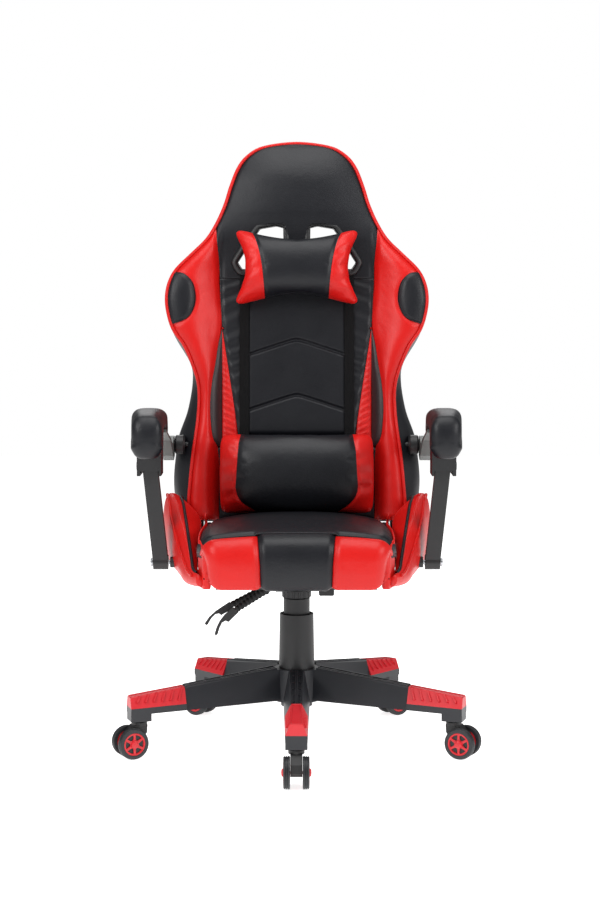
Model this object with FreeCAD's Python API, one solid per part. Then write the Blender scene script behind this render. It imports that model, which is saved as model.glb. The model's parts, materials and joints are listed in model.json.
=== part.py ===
"""Racing-style gaming chair, one solid per physical piece.

Frame: millimetres, +Z up, origin on the floor under the gas-lift column,
the chair faces -Y, and left and right are as seen from in front of it, right being +X.
"""
import FreeCAD
import Part
import os
from math import cos, radians, sin, sqrt, tan

V = FreeCAD.Vector
X_AXIS = V(1, 0, 0)
Z_AXIS = V(0, 0, 1)

# ---------------------------------------------------------------- driving dimensions
# five-star base
LEG_COUNT = 5
BASE_RADIUS = 350.0
FIRST_LEG_DEG = -90.0
HUB_TOP = 160.0
HUB_BOTTOM = 95.0
HUB_RADIUS_TOP = 44.0
HUB_RADIUS_BOTTOM = 50.0
SOCKET_RADIUS_POS = 329.0
SOCKET_BOTTOM = 74.0
SOCKET_BLOCK_RADIUS = 21.0
PAD_START = 238.0
PAD_THICKNESS = 4.0
PAD_RIM = 13.0

# twin-wheel casters
WHEEL_RADIUS = 31.0
TYRE_INNER_RADIUS = 22.5
WHEEL_INNER_FACE = 11.8
WHEEL_WIDTH = 12.9
HUB_CAP_REACH = 28.7
FORK_HALF_WIDTH = 11.35
CASTER_TRAIL = 20.0
STEM_RADIUS = 5.5
STEM_CLEARANCE = 0.05
AXLE_RADIUS = 3.0
# heading of each caster's trail, degrees about Z: front, right, rear right, rear left, left
CASTER_TRAIL_DEG = (-90.0, -27.0, 35.0, 145.0, 207.0)

# gas lift column
COLUMN_RADIUS = 25.0
COLUMN_BOTTOM = 88.0
COLUMN_TOP = 290.0
CYLINDER_RADIUS = 14.0
CONE_TOP_RADIUS = 13.2
CONE_START = 300.0
CONE_TOP = 330.0
ROD_RADIUS = 5.0
BUTTON_RADIUS = 4.0
COVER_LOWER_RADIUS = 35.5
COVER_LOWER_TOP = 271.0
COVER_UPPER_RADIUS = 26.7
COVER_UPPER_TOP = 302.5

# tilt mechanism
HOUSING_HALF_WIDTH = 29.0
TILT_PIN_Y = -55.0
TILT_PIN_Z = 340.0
KNOB_RADIUS = 28.5
KNOB_Y = -105.0
PLATE_BOTTOM = 350.0
PLATE_TOP = 354.0
LEVER_PIVOT_X = -36.0
LEVER_PIVOT_Z = 332.0
LEVER_Y = {"height_lever": 0.0, "recline_lever": -35.0}
LEVER_INNER_END = {"height_lever": 3.0, "recline_lever": -20.0}
LEVER_NECK = {"height_lever": (-134.0, 287.2), "recline_lever": (-124.0, 283.0)}
# outline of each finger grip in x and z: a block, then a thin hooked tip
LEVER_GRIP = {
    "height_lever": ((-136, 294), (-151, 284), (-165, 274.5), (-178, 262.5), (-186.5, 250), (-184, 246),
                     (-180, 248.5), (-173, 261), (-165, 269), (-157.5, 270.5), (-153, 267), (-129, 281)),
    "recline_lever": ((-128, 289), (-145, 274), (-155, 261), (-161.5, 248), (-165, 236), (-163.5, 231),
                      (-159, 234.5), (-155, 248), (-150, 258), (-143, 262), (-137, 259.5), (-117, 279)),
}

# seat
SEAT_FRAME_TOP = 374.0
SEAT_HALF_WIDTH = 193.0
SEAT_FRONT = -258.0
SEAT_REAR = 165.0
SEAT_BOTTOM = 358.0
WING_INNER = 198.0

# recline hinge and backrest; s runs up the back from the hinge, w runs forward
HINGE_Y = 215.0
HINGE_Z = 400.0
BACK_TILT_DEG = 9.0
BACK_BOTTOM_S = 30.0
FOAM_FRONT = 45.0
FOAM_REAR = 8.0
COVER_REAR = -32.0
RECLINE_PLATE_X = 198.5
SEAT_PLATE_X = 204.5

# linked armrests
POST_PIVOT = V(0, -30, 380)
ARM_PIVOT = V(0, -45, 576)
LINK_PIVOT = V(0, HINGE_Y + ARM_PIVOT.y - POST_PIVOT.y, HINGE_Z + ARM_PIVOT.z - POST_PIVOT.z)
POST_BOTTOM_X = 273.0
POST_TOP_X = 292.0
POST_HALF_WIDTH = 15.0
POST_HALF_DEPTH = 13.0

# bent rods and tubes
BEND_SWELL = 1.05
SQUARE_WALL = 2.0
BACK_TUBE_RADIUS = 9.0
BACK_TUBE_WALL = 1.6

os.makedirs("parts", exist_ok=True)


# ---------------------------------------------------------------- shape helpers
def save(node, shapes):
    """Write one node: a single solid, or a group of separate solids."""
    solids = shapes if isinstance(shapes, list) else [shapes]
    shape = solids[0] if len(solids) == 1 else Part.makeCompound(solids)
    assert shape.isValid(), node
    assert shape.Volume > 0, node
    shape.exportStep("parts/" + node + ".step")


def box(x0, x1, y0, y1, z0, z1):
    return Part.makeBox(x1 - x0, y1 - y0, z1 - z0, V(x0, y0, z0))


def cylinder(start, end, radius):
    axis = end - start
    return Part.makeCylinder(radius, axis.Length, start, axis)


def tube(start, end, outer, inner):
    """Hollow cylinder between two points."""
    return cylinder(start, end, outer).cut(cylinder(start, end, inner))


def ring_z(z0, z1, outer, inner):
    return tube(V(0, 0, z0), V(0, 0, z1), outer, inner)


def fuse(shapes):
    """Join touching shapes into one clean solid."""
    joined = shapes[0].multiFuse(shapes[1:]) if len(shapes) > 1 else shapes[0]
    return joined.removeSplitter()


def bent_rod(points, radius):
    """Round bar along straight runs; each corner is a slightly swollen ball, as a pressed bend is."""
    pieces = [cylinder(a, b, radius) for a, b in zip(points, points[1:])]
    pieces += [Part.makeSphere(radius * BEND_SWELL, p) for p in points[1:-1]]
    return fuse(pieces)


def polygon_wire(points):
    return Part.makePolygon(points + [points[0]])


def loft(sections):
    """Straight-sided solid through closed polygons."""
    return Part.makeLoft([polygon_wire(s) for s in sections], True, True)


def prism(points, direction):
    return Part.Face(polygon_wire(points)).extrude(direction)


def mirrored(shape):
    """The same piece on the other side of the chair."""
    return shape.mirror(V(0, 0, 0), X_AXIS)


def turned(shape, angle, centre=V(0, 0, 0), axis=Z_AXIS):
    copy = shape.copy()
    copy.rotate(centre, axis, angle)
    return copy


def moved(shape, offset):
    copy = shape.copy()
    copy.translate(offset)
    return copy


def rounded_block(x0, x1, y0, y1, z0, z1, radius):
    """Cushion-like block with every edge rounded."""
    block = box(x0, x1, y0, y1, z0, z1)
    return block.makeFillet(radius, block.Edges)


def to_back(shape):
    """Lean a shape, drawn upright with x, -w, s as its coordinates, onto the backrest."""
    return moved(turned(shape, -BACK_TILT_DEG, V(0, 0, 0), X_AXIS), V(0, HINGE_Y, HINGE_Z))


# ---------------------------------------------------------------- five-star base
def leg_section(r, half_top, half_bottom, top, bottom):
    """Cross-section of a leg at radius r, the leg lying along +X."""
    return [V(r, -half_bottom, bottom), V(r, half_bottom, bottom), V(r, half_top, top), V(r, -half_top, top)]


def leg_top(r):
    """Height of a leg's upper face: a straight slope from the hub to the end."""
    return 163.0 - 0.13 * (r - 30.0)


def leg_bottom(r):
    return 99.0 - 0.035 * (r - 30.0)


def make_leg():
    """Tapered leg with its caster socket; the outer stretch is sunk for the foot pad."""
    inner = [leg_section(r, ht, hb, leg_top(r), leg_bottom(r))
             for r, ht, hb in ((20.0, 16.0, 27.0), (PAD_START, 11.0, 23.0))]
    core_end = BASE_RADIUS - PAD_THICKNESS
    outer = [leg_section(r, ht, hb, leg_top(r) - PAD_THICKNESS, leg_bottom(r))
             for r, ht, hb in ((PAD_START - 1.0, 9.0, 19.0), (core_end, 8.0, 17.0))]
    rim = [leg_section(r, hb, hb, leg_bottom(r) + PAD_RIM, leg_bottom(r))
           for r, hb in ((PAD_START - 1.0, 23.0), (BASE_RADIUS, 21.0))]
    block = box(SOCKET_RADIUS_POS - SOCKET_BLOCK_RADIUS, BASE_RADIUS, -SOCKET_BLOCK_RADIUS,
                SOCKET_BLOCK_RADIUS, SOCKET_BOTTOM, leg_bottom(BASE_RADIUS) + 5.0)
    upright = [e for e in block.Edges if abs(e.tangentAt(e.FirstParameter).z) > 0.9]
    block = block.makeFillet(4.0, upright)
    return fuse([loft(inner), loft(outer), loft(rim), block])


def make_pad():
    """Red foot pad: a shell over the leg's upper outer stretch."""
    gap = 0.02
    widths = ((PAD_START, 9.5, 23.0), (BASE_RADIUS - 22.0, 12.0, 21.5), (BASE_RADIUS, 13.0, 20.5))
    outer = [leg_section(r, ht, hb, leg_top(r), leg_bottom(r) + PAD_RIM + gap) for r, ht, hb in widths]
    return loft(outer).cut(make_leg())


def leg_angle(index):
    return FIRST_LEG_DEG + index * 360.0 / LEG_COUNT


def make_base():
    hub = Part.makeCone(HUB_RADIUS_BOTTOM, HUB_RADIUS_TOP, HUB_TOP - HUB_BOTTOM, V(0, 0, HUB_BOTTOM))
    sleeve = cylinder(V(0, 0, COLUMN_BOTTOM - 6.0), V(0, 0, HUB_BOTTOM), COLUMN_RADIUS + 7.0)
    legs = [turned(make_leg(), leg_angle(i)) for i in range(LEG_COUNT)]
    star = fuse([hub, sleeve] + legs)
    above_hub = box(-60, 60, -60, 60, HUB_TOP, HUB_TOP + 20.0)
    star = star.cut(above_hub).cut(cylinder(V(0, 0, 70), V(0, 0, 200), COLUMN_RADIUS))
    bore = cylinder(V(SOCKET_RADIUS_POS, 0, 60), V(SOCKET_RADIUS_POS, 0, 104), STEM_RADIUS + STEM_CLEARANCE)
    for i in range(LEG_COUNT):
        star = star.cut(turned(bore, leg_angle(i)))
    save("base_star", star)
    save("leg_pads", [turned(make_pad(), leg_angle(i)) for i in range(LEG_COUNT)])


# ---------------------------------------------------------------- casters
def wheel(side):
    """Tyre and spoked hub of one wheel, drawn at the caster's own origin."""
    inner_face = side * WHEEL_INNER_FACE
    outer_face = side * (WHEEL_INNER_FACE + WHEEL_WIDTH)
    a = V(inner_face, 0, WHEEL_RADIUS)
    b = V(outer_face, 0, WHEEL_RADIUS)
    solid = cylinder(a, b, WHEEL_RADIUS)
    rims = [e for e in solid.Edges if e.Closed]
    solid = solid.makeFillet(3.0, rims)
    tyre = solid.cut(cylinder(a, b, TYRE_INNER_RADIUS))
    web_start = V(side * (WHEEL_INNER_FACE + 1.0), 0, WHEEL_RADIUS)
    web_end = V(side * (WHEEL_INNER_FACE + WHEEL_WIDTH - 2.0), 0, WHEEL_RADIUS)
    hub = cylinder(web_start, V(outer_face, 0, WHEEL_RADIUS), TYRE_INNER_RADIUS)
    recess = tube(web_end, V(outer_face + side, 0, WHEEL_RADIUS), 19.0, 8.0)
    spokes = [turned(box(min(web_end.x, outer_face), max(web_end.x, outer_face), -2.0, 2.0,
                         WHEEL_RADIUS + 7.0, WHEEL_RADIUS + 20.0), k * 60.0, web_end, X_AXIS)
              for k in range(6)]
    boss = Part.makeCone(8.0, 5.0, HUB_CAP_REACH - abs(outer_face), V(outer_face, 0, WHEEL_RADIUS),
                         V(side, 0, 0))
    hub = fuse([hub.cut(recess)] + spokes + [boss])
    axle_bore = cylinder(V(side * 5.0, 0, WHEEL_RADIUS), V(side * 25.6, 0, WHEEL_RADIUS),
                         AXLE_RADIUS + STEM_CLEARANCE)
    hub = hub.cut(axle_bore)
    return [moved(s, V(0, CASTER_TRAIL, 0)) for s in (tyre, hub)]


def make_fork():
    """Nylon body that hangs from the stem between the wheels; the trail runs along +Y."""
    neck = cylinder(V(0, 0, 63.5), V(0, 0, 70.5), 15.5)
    outline = [V(-FORK_HALF_WIDTH, -13, 66), V(-FORK_HALF_WIDTH, -12, 50), V(-FORK_HALF_WIDTH, 8, 26),
               V(-FORK_HALF_WIDTH, 26, 24), V(-FORK_HALF_WIDTH, 33, 32), V(-FORK_HALF_WIDTH, 32, 48),
               V(-FORK_HALF_WIDTH, 14, 66)]
    web = prism(outline, V(2 * FORK_HALF_WIDTH, 0, 0))
    fork = fuse([neck, web])
    fork = fork.cut(cylinder(V(0, 0, 50), V(0, 0, 80), STEM_RADIUS))
    axle = cylinder(V(-20, CASTER_TRAIL, WHEEL_RADIUS), V(20, CASTER_TRAIL, WHEEL_RADIUS), AXLE_RADIUS)
    return fork.cut(axle)


def make_pins():
    """Steel stem with its collar, and the wheel axle."""
    stem = fuse([cylinder(V(0, 0, 50), V(0, 0, 102), STEM_RADIUS),
                 cylinder(V(0, 0, 70.5), V(0, 0, 73.7), 8.0)])
    axle = cylinder(V(-25, CASTER_TRAIL, WHEEL_RADIUS), V(25, CASTER_TRAIL, WHEEL_RADIUS), AXLE_RADIUS)
    return [stem, axle]


def make_casters():
    for i in range(LEG_COUNT):
        angle = radians(leg_angle(i))
        place = V(SOCKET_RADIUS_POS * cos(angle), SOCKET_RADIUS_POS * sin(angle), 0)
        spin = CASTER_TRAIL_DEG[i] - 90.0
        name = "caster_%d_" % (i + 1)
        groups = (("fork", [make_fork()]), ("pins", make_pins()),
                  ("wheel_left", wheel(-1)), ("wheel_right", wheel(1)))
        for piece, solids in groups:
            save(name + piece, [moved(turned(s, spin), place) for s in solids])


# ---------------------------------------------------------------- gas lift
def make_column():
    wall = ring_z(COLUMN_BOTTOM, COLUMN_TOP, COLUMN_RADIUS, COLUMN_RADIUS - 2.0)
    floor = ring_z(COLUMN_BOTTOM, COLUMN_BOTTOM + 4.0, COLUMN_RADIUS, ROD_RADIUS + 0.1)
    save("column_tube", fuse([wall, floor]))
    save("guide_bush", ring_z(COLUMN_TOP - 35.0, COLUMN_TOP, COLUMN_RADIUS - 2.0, CYLINDER_RADIUS + 0.05))
    save("thrust_bearing", ring_z(COLUMN_BOTTOM + 4.0, COLUMN_BOTTOM + 9.0, 15.0, ROD_RADIUS + 0.3))
    lower_outer = Part.makeCone(COVER_LOWER_RADIUS + 0.8, COVER_LOWER_RADIUS - 1.2,
                                COVER_LOWER_TOP - HUB_TOP, V(0, 0, HUB_TOP))
    lower_inner = cylinder(V(0, 0, HUB_TOP - 1), V(0, 0, COVER_LOWER_TOP + 1), COVER_LOWER_RADIUS - 3.5)
    save("cover_lower", lower_outer.cut(lower_inner))
    save("cover_middle", ring_z(166.0, 268.0, COVER_LOWER_RADIUS - 4.0, COVER_UPPER_RADIUS + 2.2))
    upper_wall = ring_z(206.0, COVER_UPPER_TOP, COVER_UPPER_RADIUS, COLUMN_RADIUS + 0.4)
    upper_cap = ring_z(COVER_UPPER_TOP - 2.5, COVER_UPPER_TOP, COVER_UPPER_RADIUS, CYLINDER_RADIUS + 0.02)
    save("cover_upper", fuse([upper_wall, upper_cap]))

    rod = [cylinder(V(0, 0, 84), V(0, 0, 224), ROD_RADIUS), cylinder(V(0, 0, 97.2), V(0, 0, 101), 9.0),
           cylinder(V(0, 0, 84), V(0, 0, 87.5), 8.0), cylinder(V(0, 0, 224), V(0, 0, 236), 11.9)]
    save("piston_rod", fuse(rod))

    barrel = cylinder(V(0, 0, 104), V(0, 0, CONE_START), CYLINDER_RADIUS)
    cavity = cylinder(V(0, 0, 112), V(0, 0, 290), 12.0)
    cone = Part.makeCone(CYLINDER_RADIUS, CONE_TOP_RADIUS, CONE_TOP - CONE_START, V(0, 0, CONE_START))
    body = fuse([barrel, cone]).cut(cavity)
    body = body.cut(cylinder(V(0, 0, 100), V(0, 0, 120), ROD_RADIUS + 0.1))
    body = body.cut(cylinder(V(0, 0, 312), V(0, 0, 335), BUTTON_RADIUS + 0.05))
    save("gas_cylinder", body)
    save("release_button", cylinder(V(0, 0, 316), V(0, 0, 334), BUTTON_RADIUS))


# ---------------------------------------------------------------- tilt mechanism and levers
def make_mechanism():
    hw = HOUSING_HALF_WIDTH
    wall = 3.0
    side_outline = [V(hw - wall, -132, 338), V(hw - wall, -132, 347), V(hw - wall, -70, 347),
                    V(hw - wall, 36, 331), V(hw - wall, 36, 318), V(hw - wall, -72, 318),
                    V(hw - wall, -72, 338)]
    side = prism(side_outline, V(wall, 0, 0))
    front_floor = box(-hw, hw, -132, -69, 338, 341)
    rear_floor = box(-hw, hw, -72, 36, 318, 321)
    step = box(-hw, hw, -72, -69, 318, 341)
    nose = box(-hw, hw, -132, -129, 338, 347)
    tail = box(-hw, hw, 33, 36, 318, 330)
    socket = cylinder(V(0, 0, COVER_UPPER_TOP + 0.5), V(0, 0, CONE_TOP), 19.0)
    cone_bore = Part.makeCone(CYLINDER_RADIUS, CONE_TOP_RADIUS, CONE_TOP - CONE_START, V(0, 0, CONE_START))
    housing = fuse([side, mirrored(side), front_floor, rear_floor, step, nose, tail, socket]).cut(cone_bore)
    pin_line = (V(-60, TILT_PIN_Y, TILT_PIN_Z), V(60, TILT_PIN_Y, TILT_PIN_Z))
    housing = housing.cut(cylinder(pin_line[0], pin_line[1], 5.0))
    housing = housing.cut(cylinder(V(0, KNOB_Y, 330), V(0, KNOB_Y, 345), 5.05))
    for y in LEVER_Y.values():
        housing = housing.cut(box(-hw - 1, -hw + wall + 1, y - 7, y + 7, 323, 350))
        ears = [box(LEVER_PIVOT_X - 6, -hw, y + side_y - 1.5, y + side_y + 1.5, 322, 341)
                for side_y in (-8.5, 8.5)]
        housing = fuse([housing] + ears)
        housing = housing.cut(cylinder(V(LEVER_PIVOT_X, y - 20, LEVER_PIVOT_Z),
                                       V(LEVER_PIVOT_X, y + 20, LEVER_PIVOT_Z), 3.05))
    save("mechanism_housing", housing)
    save("tilt_pin", cylinder(V(-38, TILT_PIN_Y, TILT_PIN_Z), V(38, TILT_PIN_Y, TILT_PIN_Z), 5.0))
    save("tilt_spring", torsion_spring())
    save("tension_knob", tension_knob())


def torsion_spring():
    """Close-wound coil round the tilt pin, as one scalloped sleeve."""
    coils = 10
    pitch = 4.4
    start = -coils * pitch / 2.0
    sleeve = tube(V(start, TILT_PIN_Y, TILT_PIN_Z), V(-start, TILT_PIN_Y, TILT_PIN_Z), 8.0, 5.2)
    turns = [Part.makeTorus(8.0, 2.0, V(start + (k + 0.5) * pitch, TILT_PIN_Y, TILT_PIN_Z), X_AXIS)
             for k in range(coils)]
    return fuse([sleeve] + turns)


def tension_knob():
    """Fluted hand knob with its screw."""
    knob = cylinder(V(0, KNOB_Y, 323), V(0, KNOB_Y, 337), KNOB_RADIUS)
    flute = cylinder(V(KNOB_RADIUS + 1.5, KNOB_Y, 320), V(KNOB_RADIUS + 1.5, KNOB_Y, 340), 3.0)
    flutes = [turned(flute, (k + 0.5) * 22.5, V(0, KNOB_Y, 0)) for k in range(16)]
    knob = knob.cut(Part.makeCompound(flutes))
    screw = cylinder(V(0, KNOB_Y, 336), V(0, KNOB_Y, 346), 5.0)
    return fuse([knob, screw])


def make_levers():
    """Bent rod with a barrel on its pivot pin, and a flat finger grip with a turned-down tip."""
    for name, y in LEVER_Y.items():
        neck_x, neck_z = LEVER_NECK[name]
        barrel = tube(V(LEVER_PIVOT_X, y - 6.5, LEVER_PIVOT_Z),
                      V(LEVER_PIVOT_X, y + 6.5, LEVER_PIVOT_Z), 6.0, 3.05)
        inner = cylinder(V(LEVER_INNER_END[name], y, 337.0), V(LEVER_PIVOT_X + 3.5, y, 335.0), 2.5)
        route = [V(LEVER_PIVOT_X - 5, y, 331), V(-68, y, 320), V(neck_x, y, neck_z)]
        rod = bent_rod(route, 5.0)
        grip = [V(x, y - 4, z) for x, z in LEVER_GRIP[name]]
        blade = prism(grip, V(0, 8, 0))
        save(name, [fuse([barrel, inner, rod]), blade.cut(rod)])


# ---------------------------------------------------------------- seat
def make_seat_plate():
    """Pressed plate on the tilt pin, with a window over the gas-lift button."""
    plate = box(-95, 95, -115, 115, PLATE_BOTTOM, PLATE_TOP).cut(box(-42, 42, -28, 45, 340, 360))
    ear = fuse([box(30, 34, TILT_PIN_Y - 9, TILT_PIN_Y + 9, TILT_PIN_Z, PLATE_BOTTOM + 1),
                cylinder(V(30, TILT_PIN_Y, TILT_PIN_Z), V(34, TILT_PIN_Y, TILT_PIN_Z), 9.0)])
    plate = fuse([plate, ear, mirrored(ear)])
    plate = plate.cut(cylinder(V(-50, TILT_PIN_Y, TILT_PIN_Z), V(50, TILT_PIN_Y, TILT_PIN_Z), 5.05))
    for x in (-80, 80):
        for y in (-95, 95):
            plate = plate.cut(cylinder(V(x, y, 340), V(x, y, 360), 4.0))
    save("seat_plate", plate)
    save("tilt_buffer", box(46, 75, -118, -104, 339, PLATE_BOTTOM))


def square_bar(x0, x1, y0, y1):
    return box(x0, x1, y0, y1, PLATE_TOP, SEAT_FRAME_TOP)


def square_bore(x0, x1, y0, y1):
    """The hollow inside a square tube."""
    t = SQUARE_WALL
    return box(x0 + t, x1 - t, y0 + t, y1 - t, PLATE_TOP + t, SEAT_FRAME_TOP - t)


def make_seat_frame():
    """Welded square-tube frame with its recliner plates and armrest pivot tubes."""
    rail = square_bar(135, 155, -215, 150)
    bars = [square_bar(-135, 135, y, y + 20) for y in (-215, -105, 85, 130)]
    bores = [square_bore(-133, 133, y, y + 20) for y in (-215, -105, 85, 130)]
    bores += [square_bore(135, 155, -215, 150), square_bore(-155, -135, -215, 150)]
    outrigger = square_bar(155, SEAT_PLATE_X, 118, 150)
    plate_outline = [V(SEAT_PLATE_X, y, z) for y, z in
                     ((112, 354), (225, 384), (233, 400), (225, 414), (205, 418), (112, 382))]
    plate = prism(plate_outline, V(5, 0, 0))
    pivot = cylinder(V(155, POST_PIVOT.y, POST_PIVOT.z),
                     V(POST_BOTTOM_X - 19.0, POST_PIVOT.y, POST_PIVOT.z), 11.0)
    stub = box(150, 160, POST_PIVOT.y - 12, POST_PIVOT.y + 12, 360, 391)
    side = [rail, outrigger, plate, pivot, stub]
    frame = fuse(side + [mirrored(s) for s in side] + bars)
    for bore in bores:
        frame = frame.cut(bore)
    for sx in (-1, 1):
        frame = frame.cut(cylinder(V(sx * 190, HINGE_Y, HINGE_Z), V(sx * 215, HINGE_Y, HINGE_Z), 7.05))
        frame = frame.cut(cylinder(V(sx * 230, POST_PIVOT.y, POST_PIVOT.z),
                                   V(sx * 260, POST_PIVOT.y, POST_PIVOT.z), 5.0))
        for y in (-95, 95):
            frame = frame.cut(cylinder(V(sx * 80, y, 350), V(sx * 80, y, 380), 4.0))
    save("seat_frame", frame)
    bolts = []
    for sx in (-1, 1):
        for y in (-95, 95):
            bolts.append(fuse([cylinder(V(sx * 80, y, 350), V(sx * 80, y, 372), 4.0),
                               cylinder(V(sx * 80, y, 345), V(sx * 80, y, 350), 7.0)]))
        bolts.append(fuse([cylinder(V(sx * 190, HINGE_Y, HINGE_Z), V(sx * 214, HINGE_Y, HINGE_Z), 7.0),
                           cylinder(V(sx * 209.7, HINGE_Y, HINGE_Z), V(sx * 214, HINGE_Y, HINGE_Z), 11.0)]))
        head = POST_BOTTOM_X + POST_HALF_WIDTH + 1.5
        shank_end = V(sx * head, POST_PIVOT.y, POST_PIVOT.z)
        bolts.append(fuse([cylinder(V(sx * 232, POST_PIVOT.y, POST_PIVOT.z), shank_end, 5.0),
                           cylinder(shank_end, shank_end + V(sx * 4, 0, 0), 8.5)]))
    save("seat_fasteners", bolts)


def make_seat_cushion():
    """Seat pad with a waterfall front edge and a pocket over the frame."""
    profile = [V(-SEAT_HALF_WIDTH, SEAT_FRONT + 10, SEAT_BOTTOM), V(-SEAT_HALF_WIDTH, SEAT_FRONT, 385),
               V(-SEAT_HALF_WIDTH, SEAT_FRONT + 4, 430), V(-SEAT_HALF_WIDTH, SEAT_FRONT + 28, 458),
               V(-SEAT_HALF_WIDTH, SEAT_FRONT + 75, 473), V(-SEAT_HALF_WIDTH, -110, 477),
               V(-SEAT_HALF_WIDTH, 20, 467), V(-SEAT_HALF_WIDTH, SEAT_REAR, 456),
               V(-SEAT_HALF_WIDTH, SEAT_REAR, SEAT_BOTTOM)]
    cushion = prism(profile, V(2 * SEAT_HALF_WIDTH, 0, 0))
    pocket = box(-172, 172, -232, SEAT_REAR - 12, SEAT_BOTTOM - 1, SEAT_FRAME_TOP + 0.5)
    cushion = cushion.cut(pocket)
    for sx in (-1, 1):
        channel = box(min(sx * 150, sx * 200), max(sx * 150, sx * 200), POST_PIVOT.y - 13, POST_PIVOT.y + 13,
                      SEAT_BOTTOM - 1, 392)
        hinge_slot = box(min(sx * 150, sx * 200), max(sx * 150, sx * 200), 110, SEAT_REAR + 1,
                         SEAT_BOTTOM - 1, SEAT_FRAME_TOP + 0.5)
        cushion = cushion.cut(channel).cut(hinge_slot)
    save("seat_cushion", cushion)


def wing_section(y, low_x, low_z, bulge_x, bulge_z, ridge_x, ridge_z, inner_x, inner_z):
    """Section of a side bolster: floor, outer belly, ridge, inner shoulder."""
    return [V(WING_INNER, y, low_z), V(low_x, y, low_z), V(bulge_x, y, bulge_z), V(ridge_x, y, ridge_z),
            V(inner_x, y, inner_z), V(WING_INNER, y, inner_z - 14)]


def make_seat_wings():
    """Side bolsters that rise and lean outward from the front corner to the rear."""
    sections = [wing_section(-205, 204, 360, 206, 368, 205, 374, 202, 378),
                wing_section(-150, 212, 357, 222, 368, 216, 392, 204, 400),
                wing_section(-80, 226, 361, 236, 380, 232, 422, 212, 436),
                wing_section(0, 246, 370, 257, 405, 250, 458, 222, 464),
                wing_section(60, 257, 371, 263, 420, 256, 484, 232, 484),
                wing_section(115, 262, 373, 276, 462, 266, 496, 240, 492),
                wing_section(165, 262, 376, 277, 462, 268, 488, 240, 484)]
    wing = loft(sections)
    hinge_room = box(WING_INNER - 1, 217, 105, 170, 340, 500)
    tube_hole = cylinder(V(190, POST_PIVOT.y, POST_PIVOT.z), V(280, POST_PIVOT.y, POST_PIVOT.z), 12.0)
    wing = wing.cut(hinge_room).cut(tube_hole)
    save("seat_wing_right", wing)
    save("seat_wing_left", mirrored(wing))


# ---------------------------------------------------------------- backrest
# half-width of the back at heights along it: waist, shoulder and head
OUTLINE = ((30.0, 228.0), (95.0, 250.0), (180.0, 254.0), (250.0, 238.0), (335.0, 224.0), (405.0, 240.0),
           (455.0, 266.0), (505.0, 273.0), (548.0, 266.0), (600.0, 226.0), (640.0, 184.0), (695.0, 158.0),
           (755.0, 140.0), (795.0, 122.0), (820.0, 96.0), (836.0, 60.0))
BACK_TOP_S = 842.0
SLOT = ((-30.0, 652.0), (-72.0, 654.0), (-122.0, 578.0), (-114.0, 564.0), (-30.0, 592.0))


def outline_face(inset):
    """Closed outline of the back, drawn in its own x-s plane."""
    right = [V(x - inset, 0, s + (inset if s < 40 else 0)) for s, x in OUTLINE]
    crown = V(0, 0, BACK_TOP_S - inset)
    left = [V(-p.x, 0, p.z) for p in reversed(right)]
    curve = Part.BSplineCurve()
    curve.interpolate(right + [crown] + left)
    base = Part.LineSegment(left[-1], right[0])
    return Part.Face(Part.Wire([curve.toShape(), base.toShape()]))


def outline_slab(w0, w1, inset=0.0):
    """The outline as a slab between two depths; forward is -Y while upright."""
    slab = outline_face(inset).extrude(V(0, w0 - w1, 0))
    return moved(slab, V(0, -w0, 0))


def slot_prism(w0, w1, grow=0.0):
    """Harness slot, grown outwards about its middle; it runs level through the leaning back."""
    fall = tan(radians(BACK_TILT_DEG))
    cx = sum(p[0] for p in SLOT) / len(SLOT)
    cs = sum(p[1] for p in SLOT) / len(SLOT)
    points = []
    for x, s in SLOT:
        reach = sqrt((x - cx) ** 2 + (s - cs) ** 2)
        k = (reach + grow) / reach
        points.append(V(cx + (x - cx) * k, -w0, cs + (s - cs) * k - (w0 - FOAM_FRONT) * fall))
    prism_shape = prism(points, V(0, w0 - w1, (w0 - w1) * fall))
    through = [e for e in prism_shape.Edges if abs(e.tangentAt(e.FirstParameter).y) > 0.9]
    return prism_shape.makeFillet(6.0 + 0.5 * grow, through)


def back_holes(w0, w1, grow):
    hole = slot_prism(w0, w1, grow)
    return [hole, mirrored(hole)]


def make_back():
    front = outline_slab(FOAM_REAR, FOAM_FRONT)
    shoulder = fuse([box(150, 300, -88, -FOAM_FRONT, 380, 610), box(170, 300, -70, -FOAM_FRONT, 120, 380)])
    bolster = shoulder.common(outline_slab(FOAM_FRONT, 95.0, 8.0))
    front = fuse([front, bolster, mirrored(bolster)])
    rear = outline_slab(COVER_REAR, FOAM_REAR).cut(back_frame_shape())
    front = front.cut(back_frame_shape())
    for hole in back_holes(COVER_REAR - 10, 100, 6.0):
        front = front.cut(hole)
        rear = rear.cut(hole)
    save("back_cushion", to_back(front))
    save("back_cover", to_back(rear))
    save("back_frame", to_back(back_frame_shape()))
    rims = []
    outers = back_holes(COVER_REAR - 2, FOAM_FRONT + 2, 5.9)
    for outer, inner in zip(outers, back_holes(COVER_REAR - 10, 100, 0.0)):
        rims.append(to_back(outer.cut(inner)))
    save("back_eyelets", rims)
    strap = box(101, 121, -FOAM_FRONT - 1.6, -FOAM_FRONT, 60, 545)
    save("back_straps", [to_back(strap), to_back(mirrored(strap))])


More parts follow.
